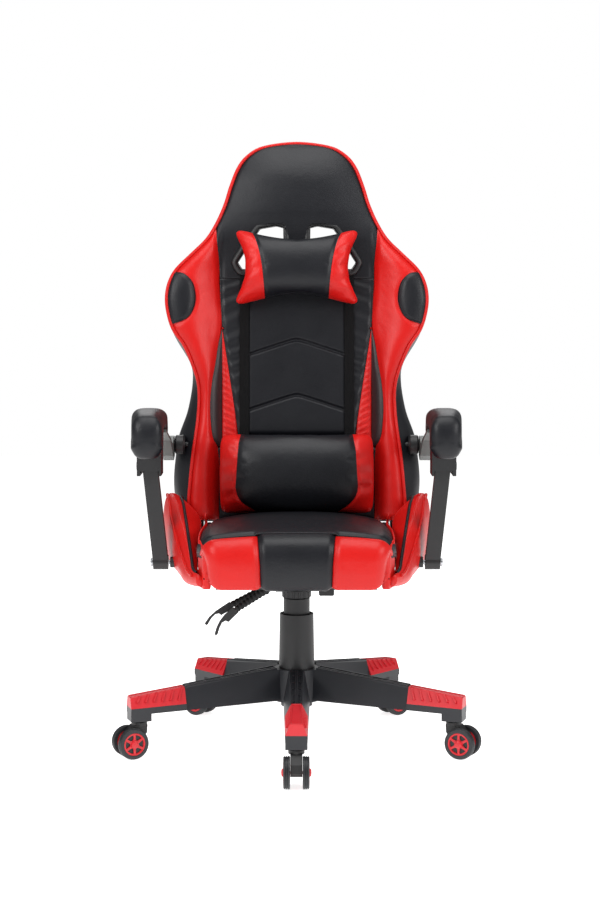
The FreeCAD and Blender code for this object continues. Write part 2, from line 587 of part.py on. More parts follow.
def back_frame_shape():
    """Welded tube loop with cross bars, recliner plates and armrest link studs, drawn upright."""
    depth = 12.0
    path = [V(188, depth, 45), V(188, depth, 480), V(150, depth, 660), V(100, depth, 780)]
    side = bent_rod(path, BACK_TUBE_RADIUS)
    bore = bent_rod(path, BACK_TUBE_RADIUS - BACK_TUBE_WALL)
    corner = Part.makeSphere(BACK_TUBE_RADIUS * BEND_SWELL, path[-1])
    top = cylinder(V(-100, depth, 780), V(100, depth, 780), 8.5)
    bars = [cylinder(V(-188, depth, s), V(188, depth, s), 7.5) for s in (60, 300, 500)]
    start = Part.makeSphere(BACK_TUBE_RADIUS * BEND_SWELL, path[0])
    plate_outline = [V(RECLINE_PLATE_X, -18, -8), V(RECLINE_PLATE_X, 18, -8), V(RECLINE_PLATE_X, 20, 20),
                     V(RECLINE_PLATE_X, 20, 130), V(RECLINE_PLATE_X, 0, 130), V(RECLINE_PLATE_X, -18, 20)]
    plate = prism(plate_outline, V(5, 0, 0))
    plate = fuse([plate, cylinder(V(RECLINE_PLATE_X, 0, 0), V(RECLINE_PLATE_X + 5, 0, 0), 20.0)])
    plate = plate.cut(cylinder(V(190, 0, 0), V(210, 0, 0), 7.05))
    weld = box(190, RECLINE_PLATE_X + 1, 7, 17, 56, 115)
    stud_w = link_depth()
    stud = cylinder(V(188, -stud_w[1], stud_w[0]), V(285, -stud_w[1], stud_w[0]), 6.0)
    gusset = prism([V(192, 12, 150), V(192, 12, 250), V(192, -stud_w[1], stud_w[0] + 12),
                    V(192, -stud_w[1], stud_w[0] - 12)], V(5, 0, 0))
    sides = [side, corner, start, plate, weld, stud, gusset]
    frame = fuse(sides + [mirrored(s) for s in sides] + [top] + bars)
    return frame.cut(bore).cut(mirrored(bore))


def link_depth():
    """Place of the armrest link stud in the back's own coordinates (s, w)."""
    tilt = radians(BACK_TILT_DEG)
    dy = LINK_PIVOT.y - HINGE_Y
    dz = LINK_PIVOT.z - HINGE_Z
    return (dy * sin(tilt) + dz * cos(tilt), -dy * cos(tilt) + dz * sin(tilt))


def make_pillows():
    """Neck pillow and lumbar pillow, plain blocks of the cushions' size."""
    head = rounded_block(-131, 131, -120, -FOAM_FRONT - 3.5, 506, 646, 24.0)
    lumbar = rounded_block(-158, 158, -148, -FOAM_FRONT - 3.5, 50, 212, 34.0)
    save("head_pillow", to_back(head))
    save("lumbar_pillow", to_back(lumbar))


# ---------------------------------------------------------------- linked armrests
def make_armrest():
    """Everything of the right-hand armrest; the left one is its mirror image."""
    px = POST_BOTTOM_X
    tx = POST_TOP_X
    hw = POST_HALF_WIDTH
    hd = POST_HALF_DEPTH
    sweep = V(tx - px, ARM_PIVOT.y - POST_PIVOT.y, ARM_PIVOT.z - POST_PIVOT.z)
    foot = V(px, POST_PIVOT.y, POST_PIVOT.z) - sweep * (3.0 / 196.0)
    head = V(tx, ARM_PIVOT.y, ARM_PIVOT.z)
    sections = [[V(c.x - hw, c.y - hd, c.z), V(c.x + hw, c.y - hd, c.z), V(c.x + hw, c.y + hd, c.z),
                 V(c.x - hw, c.y + hd, c.z)] for c in (foot, head)]
    post = fuse([loft(sections), cylinder(V(px - hw, POST_PIVOT.y, POST_PIVOT.z),
                                          V(px + hw, POST_PIVOT.y, POST_PIVOT.z), hd + 2.0),
                 cylinder(V(tx - hw, head.y, head.z), V(tx + hw, head.y, head.z), hd + 1.0)])
    post = post.cut(cylinder(V(200, POST_PIVOT.y, POST_PIVOT.z), V(300, POST_PIVOT.y, POST_PIVOT.z), 5.05))
    post = post.cut(cylinder(V(200, head.y, head.z), V(330, head.y, head.z), 5.05))

    cheek_in = box(tx - hw - 9, tx - hw - 4.2, head.y - 35, head.y + 30, 559, 640)
    cheek_out = box(tx + hw + 2.5, tx + hw + 9, head.y - 35, head.y + 30, 559, 640)
    web = box(tx - hw - 9, tx + hw + 9, head.y - 35, head.y - 30, 569, 640)
    roof = box(tx - hw - 9, tx + hw + 9, head.y - 35, head.y + 30, 592, 640)
    clevis = fuse([cheek_in, cheek_out, web, roof])
    clevis = clevis.cut(cylinder(V(200, head.y, head.z), V(330, head.y, head.z), 5.0))

    pad_side = [V(0, -150, 604), V(0, -160, 640), V(0, -148, 672), V(0, -112, 688), V(0, -20, 690),
                V(0, 60, 680), V(0, 115, 656), V(0, 140, 630), V(0, 122, 616), V(0, 60, 640),
                V(0, -110, 640.2), V(0, -130, 601)]
    pad = moved(prism(pad_side, V(66, 0, 0)), V(265, 0, 0))
    pad = pad.cut(clevis)

    link = LINK_PIVOT
    strap_side = [V(0, 60, 640), V(0, 60, 634), V(0, 118, 612), V(0, 160, 576), V(0, 186, 564),
                  V(0, 216, 572), V(0, 224, 596), V(0, 212, 614), V(0, 180, 614), V(0, 150, 604),
                  V(0, 126, 616)]
    strap = moved(prism(strap_side, V(22, 0, 0)), V(259, 0, 0))
    strap = strap.cut(cylinder(V(240, link.y, link.z), V(300, link.y, link.z), 6.6)).cut(pad)
    lean = prism([V(258, 50, 550), V(267, 50, 550), V(258, 172, 550)], V(0, 0, 100))
    strap = strap.cut(lean)
    pin = fuse([cylinder(V(tx - hw - 9, head.y, head.z), V(tx + hw + 9, head.y, head.z), 5.0),
                cylinder(V(tx + hw + 9, head.y, head.z), V(tx + hw + 12, head.y, head.z), 8.0)])
    return {"arm_post": [post], "arm_clevis": [clevis], "arm_pad": [pad], "arm_bracket": [strap, pin]}


def make_armrests():
    for name, solids in make_armrest().items():
        save(name + "_right", solids)
        save(name + "_left", [mirrored(s) for s in solids])


make_base()
make_casters()
make_column()
make_mechanism()
make_levers()
make_seat_plate()
make_seat_frame()
make_seat_cushion()
make_seat_wings()
make_back()
make_pillows()
make_armrests()
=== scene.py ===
"""Finish of a racing-style gaming chair: upholstery, trim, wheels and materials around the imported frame.

Metres in Blender; the sizes below are millimetres in the frame's own axes: +Z up, the chair faces -Y.
"""
import json
from math import cos, pi, radians, sin

import bmesh
import bpy
import numpy as np
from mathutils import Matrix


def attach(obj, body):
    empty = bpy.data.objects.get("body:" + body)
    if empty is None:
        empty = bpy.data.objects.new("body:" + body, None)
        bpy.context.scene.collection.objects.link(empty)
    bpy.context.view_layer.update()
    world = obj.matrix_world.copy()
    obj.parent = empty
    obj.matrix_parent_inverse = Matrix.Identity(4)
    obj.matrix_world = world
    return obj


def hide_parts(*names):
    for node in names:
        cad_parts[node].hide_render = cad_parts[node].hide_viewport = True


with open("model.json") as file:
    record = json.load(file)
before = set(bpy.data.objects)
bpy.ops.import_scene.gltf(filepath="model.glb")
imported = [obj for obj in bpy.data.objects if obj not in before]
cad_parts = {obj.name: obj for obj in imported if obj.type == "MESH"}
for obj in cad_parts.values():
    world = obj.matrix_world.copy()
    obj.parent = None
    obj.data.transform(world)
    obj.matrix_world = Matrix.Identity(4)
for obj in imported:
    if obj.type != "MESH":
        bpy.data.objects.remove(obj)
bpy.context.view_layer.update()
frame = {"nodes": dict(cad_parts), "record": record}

MM = 0.001

# backrest: s runs up from the recline hinge, w runs forward from the hinge line
HINGE_Y = 215.0
HINGE_Z = 400.0
BACK_TILT = radians(9.0)
BACK_FLAT = 158.0            # half-width of the flat middle of the back
# piping line of the back, (x, s) from the bottom corner round the shoulder to the crown
PIPING = ((231, 31), (226, 90), (219, 165), (209, 240), (206, 290), (209, 325), (220, 360), (238, 400), (260, 432),
          (271, 465), (275, 498), (270, 530), (255, 560), (223, 594), (191, 628), (170, 664), (153, 705),
          (141, 745), (125, 786), (104, 813), (70, 832), (0, 841))
# outer edge of the black side wall where it swells past the piping
SIDE_WALL = ((31, 250), (84, 258), (125, 260), (172, 256), (215, 249), (268, 231), (330, 221), (368, 226),
             (432, 262), (498, 276), (560, 256), (628, 192), (705, 155), (786, 127), (832, 72), (842, 0))
# depth of the piping and of the middle of the back at heights s
CREST = ((31, 64), (170, 66), (290, 60), (400, 70), (500, 77), (560, 72), (628, 54), (705, 38), (786, 30), (841, 22))
MIDDLE = ((31, 45), (600, 45), (700, 47), (780, 43), (820, 34), (841, 22))
SLOT = ((-29, 653), (-44, 657), (-79, 651), (-99, 622), (-127, 578), (-116, 562), (-72, 577), (-28, 594))
SLOT_ROUND = 3
REAR_W = -32.0
FOAM_W = 50.0                # depth of the foam's front, where the slots are drawn
STRAP_X = 111.0              # the elastic straps run up the back at this distance from its middle
STUD_Y = 200.0               # the armrest studs on the sides of the back
STUD_Z = 596.0

# seat pad: side profile of its skin, (y, z) from the front lower edge over the crown to the rear
SEAT_PROFILE = ((-236, 358), (-252, 366), (-258, 400), (-254, 434), (-236, 457), (-190, 472), (-110, 476), (20, 468),
                (150, 458), (166, 448), (168, 400))
SEAT_HALF = 193.0
SEAT_EDGE = 30.0             # radius over which the top rolls into the side
SEAT_FLOOR = 358.0
SEAT_CROWN = 20.0            # how far the sides lie below the middle


# ---------------------------------------------------------------- shape helpers
def through(points, count):
    """Uniform Catmull-Rom line through control points, sampled evenly in its parameter, any trailing shape."""
    p = np.asarray(points, float)
    p = np.concatenate([2 * p[:1] - p[1:2], p, 2 * p[-1:] - p[-2:-1]])
    t = np.linspace(0, len(p) - 3, count)
    i = np.minimum(t.astype(int), len(p) - 4)
    f = (t - i).reshape((-1,) + (1,) * (p.ndim - 1))
    a, b, c, d = p[i], p[i + 1], p[i + 2], p[i + 3]
    return 0.5 * (2 * b + (c - a) * f + (2 * a - 5 * b + 4 * c - d) * f ** 2 + (3 * b - a - 3 * c + d) * f ** 3)


def even(points, count, smooth=True):
    """A line through points, resampled at equal steps of its own length."""
    fine = through(points, 600) if smooth else np.asarray(points, float)
    run = np.r_[0, np.cumsum(np.linalg.norm(np.diff(fine, axis=0), axis=1))]
    at = np.linspace(0, run[-1], count)
    return np.stack([np.interp(at, run, column) for column in fine.T], axis=1)


def curve_of(pairs):
    """Smooth function through (input, value) pairs."""
    table = through(pairs, 500)
    return lambda t: np.interp(t, table[:, 0], table[:, 1])


def ease(t):
    """Smooth step from 0 to 1."""
    t = np.clip(t, 0, 1)
    return t * t * (3 - 2 * t)


def grid_faces(rows, cols, ring=False, loop=False):
    """Quads of a rows by cols grid; ring joins its last column to its first, loop its last row to its first."""
    r = np.arange(rows if loop else rows - 1)[:, None]
    c = np.arange(cols if ring else cols - 1)[None, :]
    r1, c1 = (r + 1) % rows, (c + 1) % cols
    quads = [r * cols + c, r1 * cols + c, r1 * cols + c1, r * cols + c1]
    return np.stack([np.broadcast_to(q, (len(r), c.shape[1])).ravel() for q in quads], axis=1)


def piece(name, points, faces, finish, body, outward=None, wall=0.0, parts=None, smooth=True):
    """One finished object. outward is a direction that an open skin faces; without it the skin is closed.
    wall is the thickness given to an open skin, behind it. parts is a material index per face."""
    mesh = bpy.data.meshes.new(name)
    mesh.from_pydata((np.asarray(points, float).reshape(-1, 3) * MM).tolist(), [], np.asarray(faces).tolist())
    finishes = finish if isinstance(finish, (list, tuple)) else [finish]
    for one in finishes:
        mesh.materials.append(one)
    if parts is not None:
        mesh.polygons.foreach_set("material_index", np.asarray(parts, dtype=np.int32))
    bm = bmesh.new()
    bm.from_mesh(mesh)
    bmesh.ops.remove_doubles(bm, verts=bm.verts, dist=0.00002)
    bmesh.ops.dissolve_degenerate(bm, edges=bm.edges, dist=0.00001)
    if outward is None:
        bmesh.ops.recalc_face_normals(bm, faces=bm.faces)
        if bm.calc_volume(signed=True) < 0:
            bmesh.ops.reverse_faces(bm, faces=bm.faces)
    bm.normal_update()
    if outward is not None:
        facing = sum((np.array(f.normal) * f.calc_area() for f in bm.faces), start=np.zeros(3))
        if facing @ np.array(outward, float) < 0:
            bmesh.ops.reverse_faces(bm, faces=bm.faces)
    bm.to_mesh(mesh)
    bm.free()
    mesh.polygons.foreach_set("use_smooth", np.full(len(mesh.polygons), smooth))
    obj = bpy.data.objects.new(name, mesh)
    bpy.context.scene.collection.objects.link(obj)
    if wall:
        solid = obj.modifiers.new("wall", "SOLIDIFY")
        solid.thickness = wall * MM
        solid.offset = -1.0
        solid.use_rim = True
    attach(obj, body)
    return obj


def swept(path, profile, up=(0, 0, 1), closed=False):
    """Profile points (across, along up) carried along a path; returns a rows by cols by 3 grid."""
    p = np.asarray(path, float)
    if closed:
        t = np.roll(p, -1, 0) - np.roll(p, 1, 0)
    else:
        t = np.gradient(p, axis=0)
    t /= np.linalg.norm(t, axis=1, keepdims=True)
    side = np.cross(t, np.broadcast_to(np.asarray(up, float), t.shape))
    side /= np.linalg.norm(side, axis=1, keepdims=True)
    rise = np.cross(side, t)
    q = np.asarray(profile, float)
    return p[:, None] + q[None, :, :1] * side[:, None] + q[None, :, 1:] * rise[:, None]


def round_profile(radius, count=10):
    a = np.linspace(0, 2 * pi, count, endpoint=False)
    return np.stack([radius * np.cos(a), radius * np.sin(a)], axis=1)


def cord_piece(name, path, radius, finish, body, up=(0, 0, 1)):
    """Round bead along a path, closed at both ends by a point."""
    g = swept(path, round_profile(radius), up)
    g = np.concatenate([np.broadcast_to(path[:1][:, None], g[:1].shape), g,
                        np.broadcast_to(path[-1:][:, None], g[:1].shape)])
    return piece(name, g, grid_faces(len(g), g.shape[1], ring=True), finish, body)


def lathe(profile, count=48):
    """Profile (along the axis, radius) turned round the X axis; returns a grid that closes on itself."""
    a = np.linspace(0, 2 * pi, count, endpoint=False)[None, :]
    q = np.asarray(profile, float)
    x = np.broadcast_to(q[:, :1], (len(q), count))
    return np.stack([x, q[:, 1:] * np.cos(a), q[:, 1:] * np.sin(a)], axis=-1)


# ---------------------------------------------------------------- materials
def rgb(code):
    """sRGB hex to the linear colour that a shader takes."""
    part = np.array([int(code[i:i + 2], 16) for i in (1, 3, 5)]) / 255.0
    linear = np.where(part <= 0.04045, part / 12.92, ((part + 0.055) / 1.055) ** 2.4)
    return (*linear.tolist(), 1.0)


def add(tree, kind, inputs, **settings):
    """Add one node; inputs maps a socket's name or index to a value or to the output that feeds it."""
    node = tree.nodes.new(kind)
    for key, value in settings.items():
        setattr(node, key, value)
    for key, value in inputs.items():
        if isinstance(value, bpy.types.NodeSocket):
            tree.links.new(value, node.inputs[key])
        else:
            node.inputs[key].default_value = value
    return node


def finish_of(name, colours, cloud_mm, grains, roughness, rough_spread=0.06, **constants):
    """Opaque finish: two colours clouded together at a real size, a stack of bump layers, constants on the shader.
    grains is (texture, size in mm, height in mm) from the coarsest down."""
    made = bpy.data.materials.new(name)
    made.use_nodes = True
    tree = made.node_tree
    shader = tree.nodes["Principled BSDF"]
    place = add(tree, "ShaderNodeTexCoord", {}).outputs["Object"]
    cloud = add(tree, "ShaderNodeTexNoise", {"Vector": place, "Scale": 1000.0 / cloud_mm, "Detail": 4.0,
                                             "Roughness": 0.6})
    mixed = add(tree, "ShaderNodeMix", {0: cloud.outputs[0], 6: rgb(colours[0]), 7: rgb(colours[1])}, data_type="RGBA")
    tree.links.new(mixed.outputs[2], shader.inputs["Base Color"])
    spread = add(tree, "ShaderNodeMapRange", {0: cloud.outputs[0], 3: roughness - rough_spread,
                                              4: roughness + rough_spread})
    tree.links.new(spread.outputs[0], shader.inputs["Roughness"])
    normal = None
    for texture, size, height in grains:
        kind = {"cells": "ShaderNodeTexVoronoi", "noise": "ShaderNodeTexNoise", "weave": "ShaderNodeTexWave"}[texture]
        layer = add(tree, kind, {"Vector": place, "Scale": 1000.0 / size})
        bump = add(tree, "ShaderNodeBump", {"Height": layer.outputs[0], "Distance": height * MM, "Strength": 1.0})
        if normal is not None:
            tree.links.new(normal, bump.inputs["Normal"])
        normal = bump.outputs[0]
    if normal is not None:
        tree.links.new(normal, shader.inputs["Normal"])
    for key, value in constants.items():
        shader.inputs[key.replace("_", " ")].default_value = value
    return made


# polyurethane-coated upholstery cloth, embossed: a soft, slightly uneven sheen over a fine pebble
PU_BLACK = finish_of("pu_black_embossed", ("#0d0e13", "#131419"), 60.0,
                     (("noise", 38.0, 0.8), ("noise", 9.0, 0.2), ("cells", 2.4, 0.12)), 0.42, Specular_IOR_Level=0.32)
PU_RED = finish_of("pu_red_embossed", ("#b60c0a", "#c8140f"), 70.0,
                   (("noise", 38.0, 1.6), ("noise", 9.0, 0.25), ("cells", 2.4, 0.12)), 0.40, Specular_IOR_Level=0.30)
# the same black cloth darkened and tinted red: painted shade with a painted red reflection, used for the inserts by
# the waist and inside the arm pads
PU_BLACK_SHADED_RED = finish_of("pu_black_painted_shade_red_reflection", ("#1c1214", "#2a1719"), 50.0,
                    (("noise", 45.0, 1.2), ("cells", 2.2, 0.10)), 0.48)
# woven elastic webbing: matt, ribbed across
WEBBING = finish_of("webbing_woven", ("#070708", "#0c0c0e"), 12.0,
                    (("weave", 3.0, 0.4), ("noise", 1.5, 0.15)), 0.85, Specular_IOR_Level=0.2)
# glass-filled nylon, injection moulded: satin charcoal with a faint orange peel
NYLON = finish_of("nylon_moulded", ("#111318", "#1a1c22"), 90.0, (("noise", 2.5, 0.06),), 0.42)
# polypropylene, injection moulded: matt black with a spark-eroded texture
PLASTIC_BLACK = finish_of("polypropylene_moulded", ("#101012", "#171719"), 60.0, (("noise", 1.2, 0.08),), 0.48)
# polypropylene, injection moulded in red
PLASTIC_RED = finish_of("polypropylene_red", ("#bb1520", "#ca2029"), 60.0, (("noise", 1.5, 0.06),), 0.42)
# cast polyurethane tyre: dark grey rubbery sheen, scuffed
TYRE = finish_of("polyurethane_tyre", ("#15171a", "#202327"), 18.0, (("noise", 3.0, 0.10),), 0.5)
# powder-coated steel: fine pimpled black
COAT_BLACK = finish_of("powder_coat_black", ("#0f0f11", "#151518"), 50.0, (("noise", 1.0, 0.05),), 0.5)
COAT_GREY = finish_of("powder_coat_grey", ("#4a4e4c", "#575b59"), 50.0, (("noise", 1.0, 0.05),), 0.45)
# drawn and zinc-plated steel: bright, finely lined
STEEL = finish_of("zinc_plated_steel", ("#a9abae", "#bcbec2"), 25.0, (("noise", 0.8, 0.03),), 0.32, Metallic=1.0)
# nitrile rubber: matt and dull
RUBBER = finish_of("rubber_moulded", ("#131314", "#1a1a1b"), 30.0, (("noise", 1.4, 0.06),), 0.75)

BY_SLOT = {"base_nylon": NYLON, "red_plastic": PLASTIC_RED, "black_steel": COAT_BLACK, "bright_steel": STEEL,
           "black_plastic": PLASTIC_BLACK, "caster_tyre": TYRE, "upholstery": PU_BLACK, "pu_black": PU_BLACK,
           "pu_red": PU_RED, "elastic": WEBBING, "rubber": RUBBER, "grey_paint": COAT_GREY}


def dress_cad_nodes():
    """Give every carried-over part the finish of its own slot."""
    slots = {part["node"]: part["material_slot"] for part in frame["record"]["subparts"]}
    for node_name, obj in frame["nodes"].items():
        obj.data.materials.clear()
        obj.data.materials.append(BY_SLOT[slots[node_name]])


# ---------------------------------------------------------------- backrest
half_width = curve_of([(s, x) for x, s in PIPING])
side_wall = curve_of(SIDE_WALL)
crest = curve_of(CREST)
middle = curve_of(MIDDLE)


def on_back(x, s, w):
    """Points of the leaning backrest from its own coordinates."""
    return np.stack([x + 0 * w, HINGE_Y + s * sin(BACK_TILT) - w * cos(BACK_TILT),
                     HINGE_Z + s * cos(BACK_TILT) + w * sin(BACK_TILT)], axis=-1)


def face_depth(x, s):
    """Depth of the padded front: flat in the middle, swelling over the side bolsters to the piping."""
    half = half_width(s)
    t = np.clip((np.abs(x) - BACK_FLAT) / np.maximum(half - BACK_FLAT, 1), 0, 1)
    swell = np.interp(s, (31, 560), (15, 17))
    bolster = (crest(s) - middle(s)) * ease(t) + swell * np.sin(pi * t)
    q = np.clip(np.abs(x) / np.maximum(half, 1), 0, 1)
    head = (crest(s) - middle(s)) * q ** 3 + 9.0 * np.cos(pi * q / 2) * ease((841 - s) / 90.0)
    blend = ease((s - 575.0) / 95.0)
    return middle(s) + bolster * (1 - blend) + head * blend


def panel(name, left, right, finish, slot, shape=None, seam=4.5, rows=90, cols=30, wall=4.0, lift=0.0,
          place=None, depth=face_depth, body="backrest", outward=(0, -1, 0), keep=None, smooth_ends=True,
          sewn_ends=True):
    """A sewn panel ruled between two seam lines in the surface's own plane, lifted to the padded depth.
    It sinks by seam along its four edges within about 6 mm, and shape adds height from (a, b).
    Without sewn_ends its first and last rows run on flush into the next panel."""
    a = even(left, rows, smooth_ends)
    b = even(right, rows, smooth_ends)
    u = np.linspace(0, 1, cols)
    flat = a[:, None] * (1 - u)[None, :, None] + b[:, None] * u[None, :, None]
    wide = np.linalg.norm(b - a, axis=1)[:, None]
    across = np.minimum(u, 1 - u)[None, :] * wide
    run = np.r_[0, np.cumsum(np.linalg.norm(np.diff((a + b) / 2, axis=0), axis=1))]
    along = np.minimum(run, run[-1] - run)[:, None]
    edge = np.minimum(across, along) if sewn_ends else across + 0 * along
    raised = depth(flat[..., 0], flat[..., 1]) + lift - seam * np.exp(-(edge / 6.0) ** 2)
    if shape is not None:
        raised = raised + shape(flat[..., 0], flat[..., 1]) * ease(edge / 14.0)
    points = (place or on_back)(flat[..., 0], flat[..., 1], raised)
    faces = grid_faces(rows, cols)
    if keep is not None:
        faces = faces[keep(flat.reshape(-1, 2))[faces].all(axis=1)]
    made = piece(name, points, faces, finish, body, outward, wall)
    return made


def slot_outline(grow=0.0, count=72):
    """Rounded outline of the left harness slot, grown outwards about its own edge."""
    ring = np.repeat(np.asarray(SLOT, float), 2, axis=0)
    for _ in range(SLOT_ROUND):
        ring = np.stack([0.75 * ring + 0.25 * np.roll(ring, -1, 0), 0.25 * ring + 0.75 * np.roll(ring, -1, 0)],
                        axis=1).reshape(-1, 2)
    ring = even(np.concatenate([ring, ring[:1]]), count + 1, smooth=False)[:-1]
    t = np.roll(ring, -1, 0) - np.roll(ring, 1, 0)
    out = np.stack([t[:, 1], -t[:, 0]], axis=1) / np.linalg.norm(t, axis=1, keepdims=True)
    area = np.sum(ring[:, 0] * np.roll(ring[:, 1], -1) - np.roll(ring[:, 0], -1) * ring[:, 1])
    return ring + out * grow * (1 if area > 0 else -1)


def clear_of_slots(points, w=FOAM_W):
    """True for points outside both harness slots, a little grown, at depth w."""
    ring = slot_outline(3.0)
    x = -np.abs(points[:, 0])[:, None]
    s = points[:, 1][:, None] - slot_rise(w)
    a, b = ring[None], np.roll(ring, -1, 0)[None]
    crosses = (a[..., 1] > s) != (b[..., 1] > s)
    rise = np.where(b[..., 1] == a[..., 1], 1e-9, b[..., 1] - a[..., 1])
    at = a[..., 0] + (s - a[..., 1]) * (b[..., 0] - a[..., 0]) / rise
    return (crosses & (x < at)).sum(axis=1) % 2 == 0


def mirror(points, sx):
    return [(sx * x, s) for x, s in points]


def slot_rise(w):
    """The slots run level through the leaning back, so they climb along it towards the rear."""
    return (FOAM_W - w) * sin(BACK_TILT) / cos(BACK_TILT)


CHEVRONS = ((417.0, 0.335), (299.0, 0.335))


def quilting(x, s):
    """Two sewn chevrons across the middle of the back, with the padding full between them."""
    height = 0 * x
    for top, slope in CHEVRONS:
        off = (s - (top - slope * np.sqrt(x ** 2 + 64.0))) * cos(slope)
        height = height - 5.5 * np.exp(-(off / 3.2) ** 2)
    return height + 2.0


def ruched(pitch, skew, height):
    """Gathered cloth: uneven folds that run across the strip."""
    return lambda x, s: height * np.sin(2 * pi * (s + skew * np.abs(x)) / pitch + 1.3 * np.sin(s / 29.0)) - height


def back_panels():
    wing_in = ((172, 657), (170, 627), (165, 580), (164, 531), (160, 477), (160, 439), (166, 403), (172, 360),
               (178, 325), (182, 280), (181, 240), (176, 205), (167, 186), (164, 150), (164, 31))
    cut = next(i for i, p in enumerate(PIPING) if p[1] > 657)
    wing_out = ((172, 658),) + PIPING[:cut][::-1]
    wedge_in = ((159, 441), (148, 371), (138, 307), (130, 254), (124, 208))
    leaf_out = ((158, 441), (166, 403), (172, 360), (178, 325), (182, 280), (181, 240), (176, 205), (165, 186))

    head_side = ((164, 545), (165, 580), (170, 627), (172, 657)) + PIPING[cut:]
    panel("back_head_panel", mirror(head_side, -1), head_side, PU_BLACK, "pu_black", rows=110, cols=100,
          keep=clear_of_slots, sewn_ends=False)
    panel("back_chevron_panel", ((-STRAP_X, 209), (-STRAP_X, 545)), ((STRAP_X, 209), (STRAP_X, 545)), PU_BLACK,
          "pu_black", shape=quilting, rows=240, cols=70)
    panel("back_lower_panel", ((-164, 31), (-164, 150), (-164, 186), (-124, 209)),
          ((164, 31), (164, 150), (164, 186), (124, 209)), PU_BLACK, "pu_black", rows=50, cols=70)
    for side, sx in (("left", -1), ("right", 1)):
        panel("back_strip_" + side, mirror(((STRAP_X, 545), (STRAP_X, 441), (STRAP_X, 320), (STRAP_X, 209)), sx),
              mirror(((164, 545), (159, 441), (141, 320), (124, 209)), sx), PU_BLACK, "pu_black",
              shape=ruched(33.0, 0.35, 1.0), rows=110, cols=20, sewn_ends=False)
        panel("back_wedge_" + side, mirror(wedge_in, sx), mirror(((158.5, 441), (158, 330), (158, 192)), sx), PU_RED,
              "pu_red", shape=ruched(13.0, -0.5, 1.1), rows=150, cols=14, seam=3.0)
        # the leaf insert is black cloth; its dark reddish finish is painted shade with a painted red reflection
        panel("back_leaf_" + side, mirror(((158, 441), (158, 320), (158, 186)), sx), mirror(leaf_out, sx), PU_BLACK_SHADED_RED,
              "pu_black", rows=90, cols=12, seam=3.0)
        panel("back_wing_" + side, mirror(wing_in, sx), mirror(wing_out, sx), PU_RED, "pu_red", rows=190, cols=36,
              shape=lambda x, s: -3.5 * np.exp(-(oval_gap(x, s) / 5.0) ** 2))
        oval_in = ((262, 556), (238, 551), (221, 535), (214, 512), (214, 489), (223, 465), (238, 452), (266, 443))
        cut_out = [p for p in PIPING if 443 < p[1] < 556]
        oval_out = ((262.5, 556),) + tuple(cut_out[::-1]) + ((266.5, 443),)
        panel("back_shoulder_" + side, mirror(oval_in, sx), mirror(oval_out, sx), PU_BLACK, "pu_black", rows=60,
              cols=20, lift=2.2, seam=3.5, wall=3.0)
    both = even([(-x, s) for x, s in PIPING] + [(x, s) for x, s in PIPING[-2::-1]], 420)
    line = on_back(both[:, 0], both[:, 1], crest(both[:, 1]) - 1.0)
    cord_piece("back_piping", line, 3.6, PU_RED, "backrest", up=(0, 1, 0.1))


def oval_gap(x, s):
    """Distance from the edge of the black shoulder panel, roughly an ellipse about the piping's widest point."""
    r = np.sqrt(((np.abs(x) - 271.0) / 57.0) ** 2 + ((s - 499.0) / 56.0) ** 2)
    return np.abs(r - 1.0) * 56.0


def back_shell():
    """Side walls and rear panel in one skin: at each height from one piping line round the back to the other."""
    rows = 150
    outline = even(PIPING, rows)
    s = outline[:, 1]
    xp = outline[:, 0]
    xw = np.maximum(side_wall(s), xp * 0.985)
    fade = np.clip(xp / 60.0, 0, 1)
    wp = crest(s) - 3.0
    stations = [(xp, wp), (xp + 0.65 * (xw - xp) + 2.0 * fade, wp * 0.62), (xw + 1.5 * fade, wp * 0.15),
                (xw - 1.0 * fade, 0 * s - 17.0), (xw - 12.0 * fade, 0 * s + REAR_W + 2.0),
                (xw * 0.7, 0 * s + REAR_W - 1.5), (xw * 0.35, 0 * s + REAR_W - 3.0), (0 * s, 0 * s + REAR_W - 3.5)]
    half = through(np.stack([np.stack(p, axis=-1) for p in stations]), 70)
    right = half.transpose(1, 0, 2)
    left = right[:, ::-1] * np.array([-1.0, 1.0])
    section = np.concatenate([right, left[:, 1:]], axis=1)
    x, w = section[..., 0], section[..., 1]
    ss = np.broadcast_to(s[:, None], x.shape)
    rear = w < REAR_W + 8.0
    faces = grid_faces(rows, x.shape[1])
    plane = np.stack([x, ss], axis=-1).reshape(-1, 2)
    blocked = ~clear_of_slots(plane, REAR_W) & rear.ravel()
    faces = faces[~blocked[faces].any(axis=1)]
    made = piece("back_shell", on_back(x, ss, w), faces, PU_BLACK, "backrest", (0, 1, 0), wall=3.0)
    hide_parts("back_cover")
    bottom = on_back(np.array([-225, 225, 225, -225]), np.array([33, 33, 33, 33]), np.array([40, 40, -26, -26]))
    pad = piece("back_bottom_panel", bottom, [[0, 1, 2, 3]], PU_BLACK, "backrest", (0, 0, -1), wall=3.0)
    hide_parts("back_cushion")


def eyelets():
    """Moulded bezel of each harness slot: a sleeve with a rounded flange at the front and at the rear."""
    front = FOAM_W
    rear = REAR_W - 5.0
    profile = ((0.0, rear + 1.5), (0.0, front - 1.5), (1.2, front + 1.5), (5.0, front + 3.0), (11.0, front + 1.5),
               (13.5, front - 2.5), (11.0, front - 4.0), (3.0, front - 5.0), (3.0, rear + 5.0), (11.0, rear + 4.0),
               (12.5, rear + 2.0), (10.0, rear - 0.5), (4.0, rear - 1.5), (1.0, rear - 0.5))
    rings = [np.concatenate([slot_outline(out) + [0, slot_rise(w)], np.full((72, 1), w)], axis=1)
             for out, w in profile]
    grid = np.stack(rings, axis=1)
    for side, sx in (("left", 1), ("right", -1)):
        points = on_back(sx * grid[..., 0], grid[..., 1], grid[..., 2])
        made = piece("eyelet_" + side, points, grid_faces(72, len(profile), ring=True, loop=True), PLASTIC_BLACK,
                     "backrest")
        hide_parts("back_eyelets")


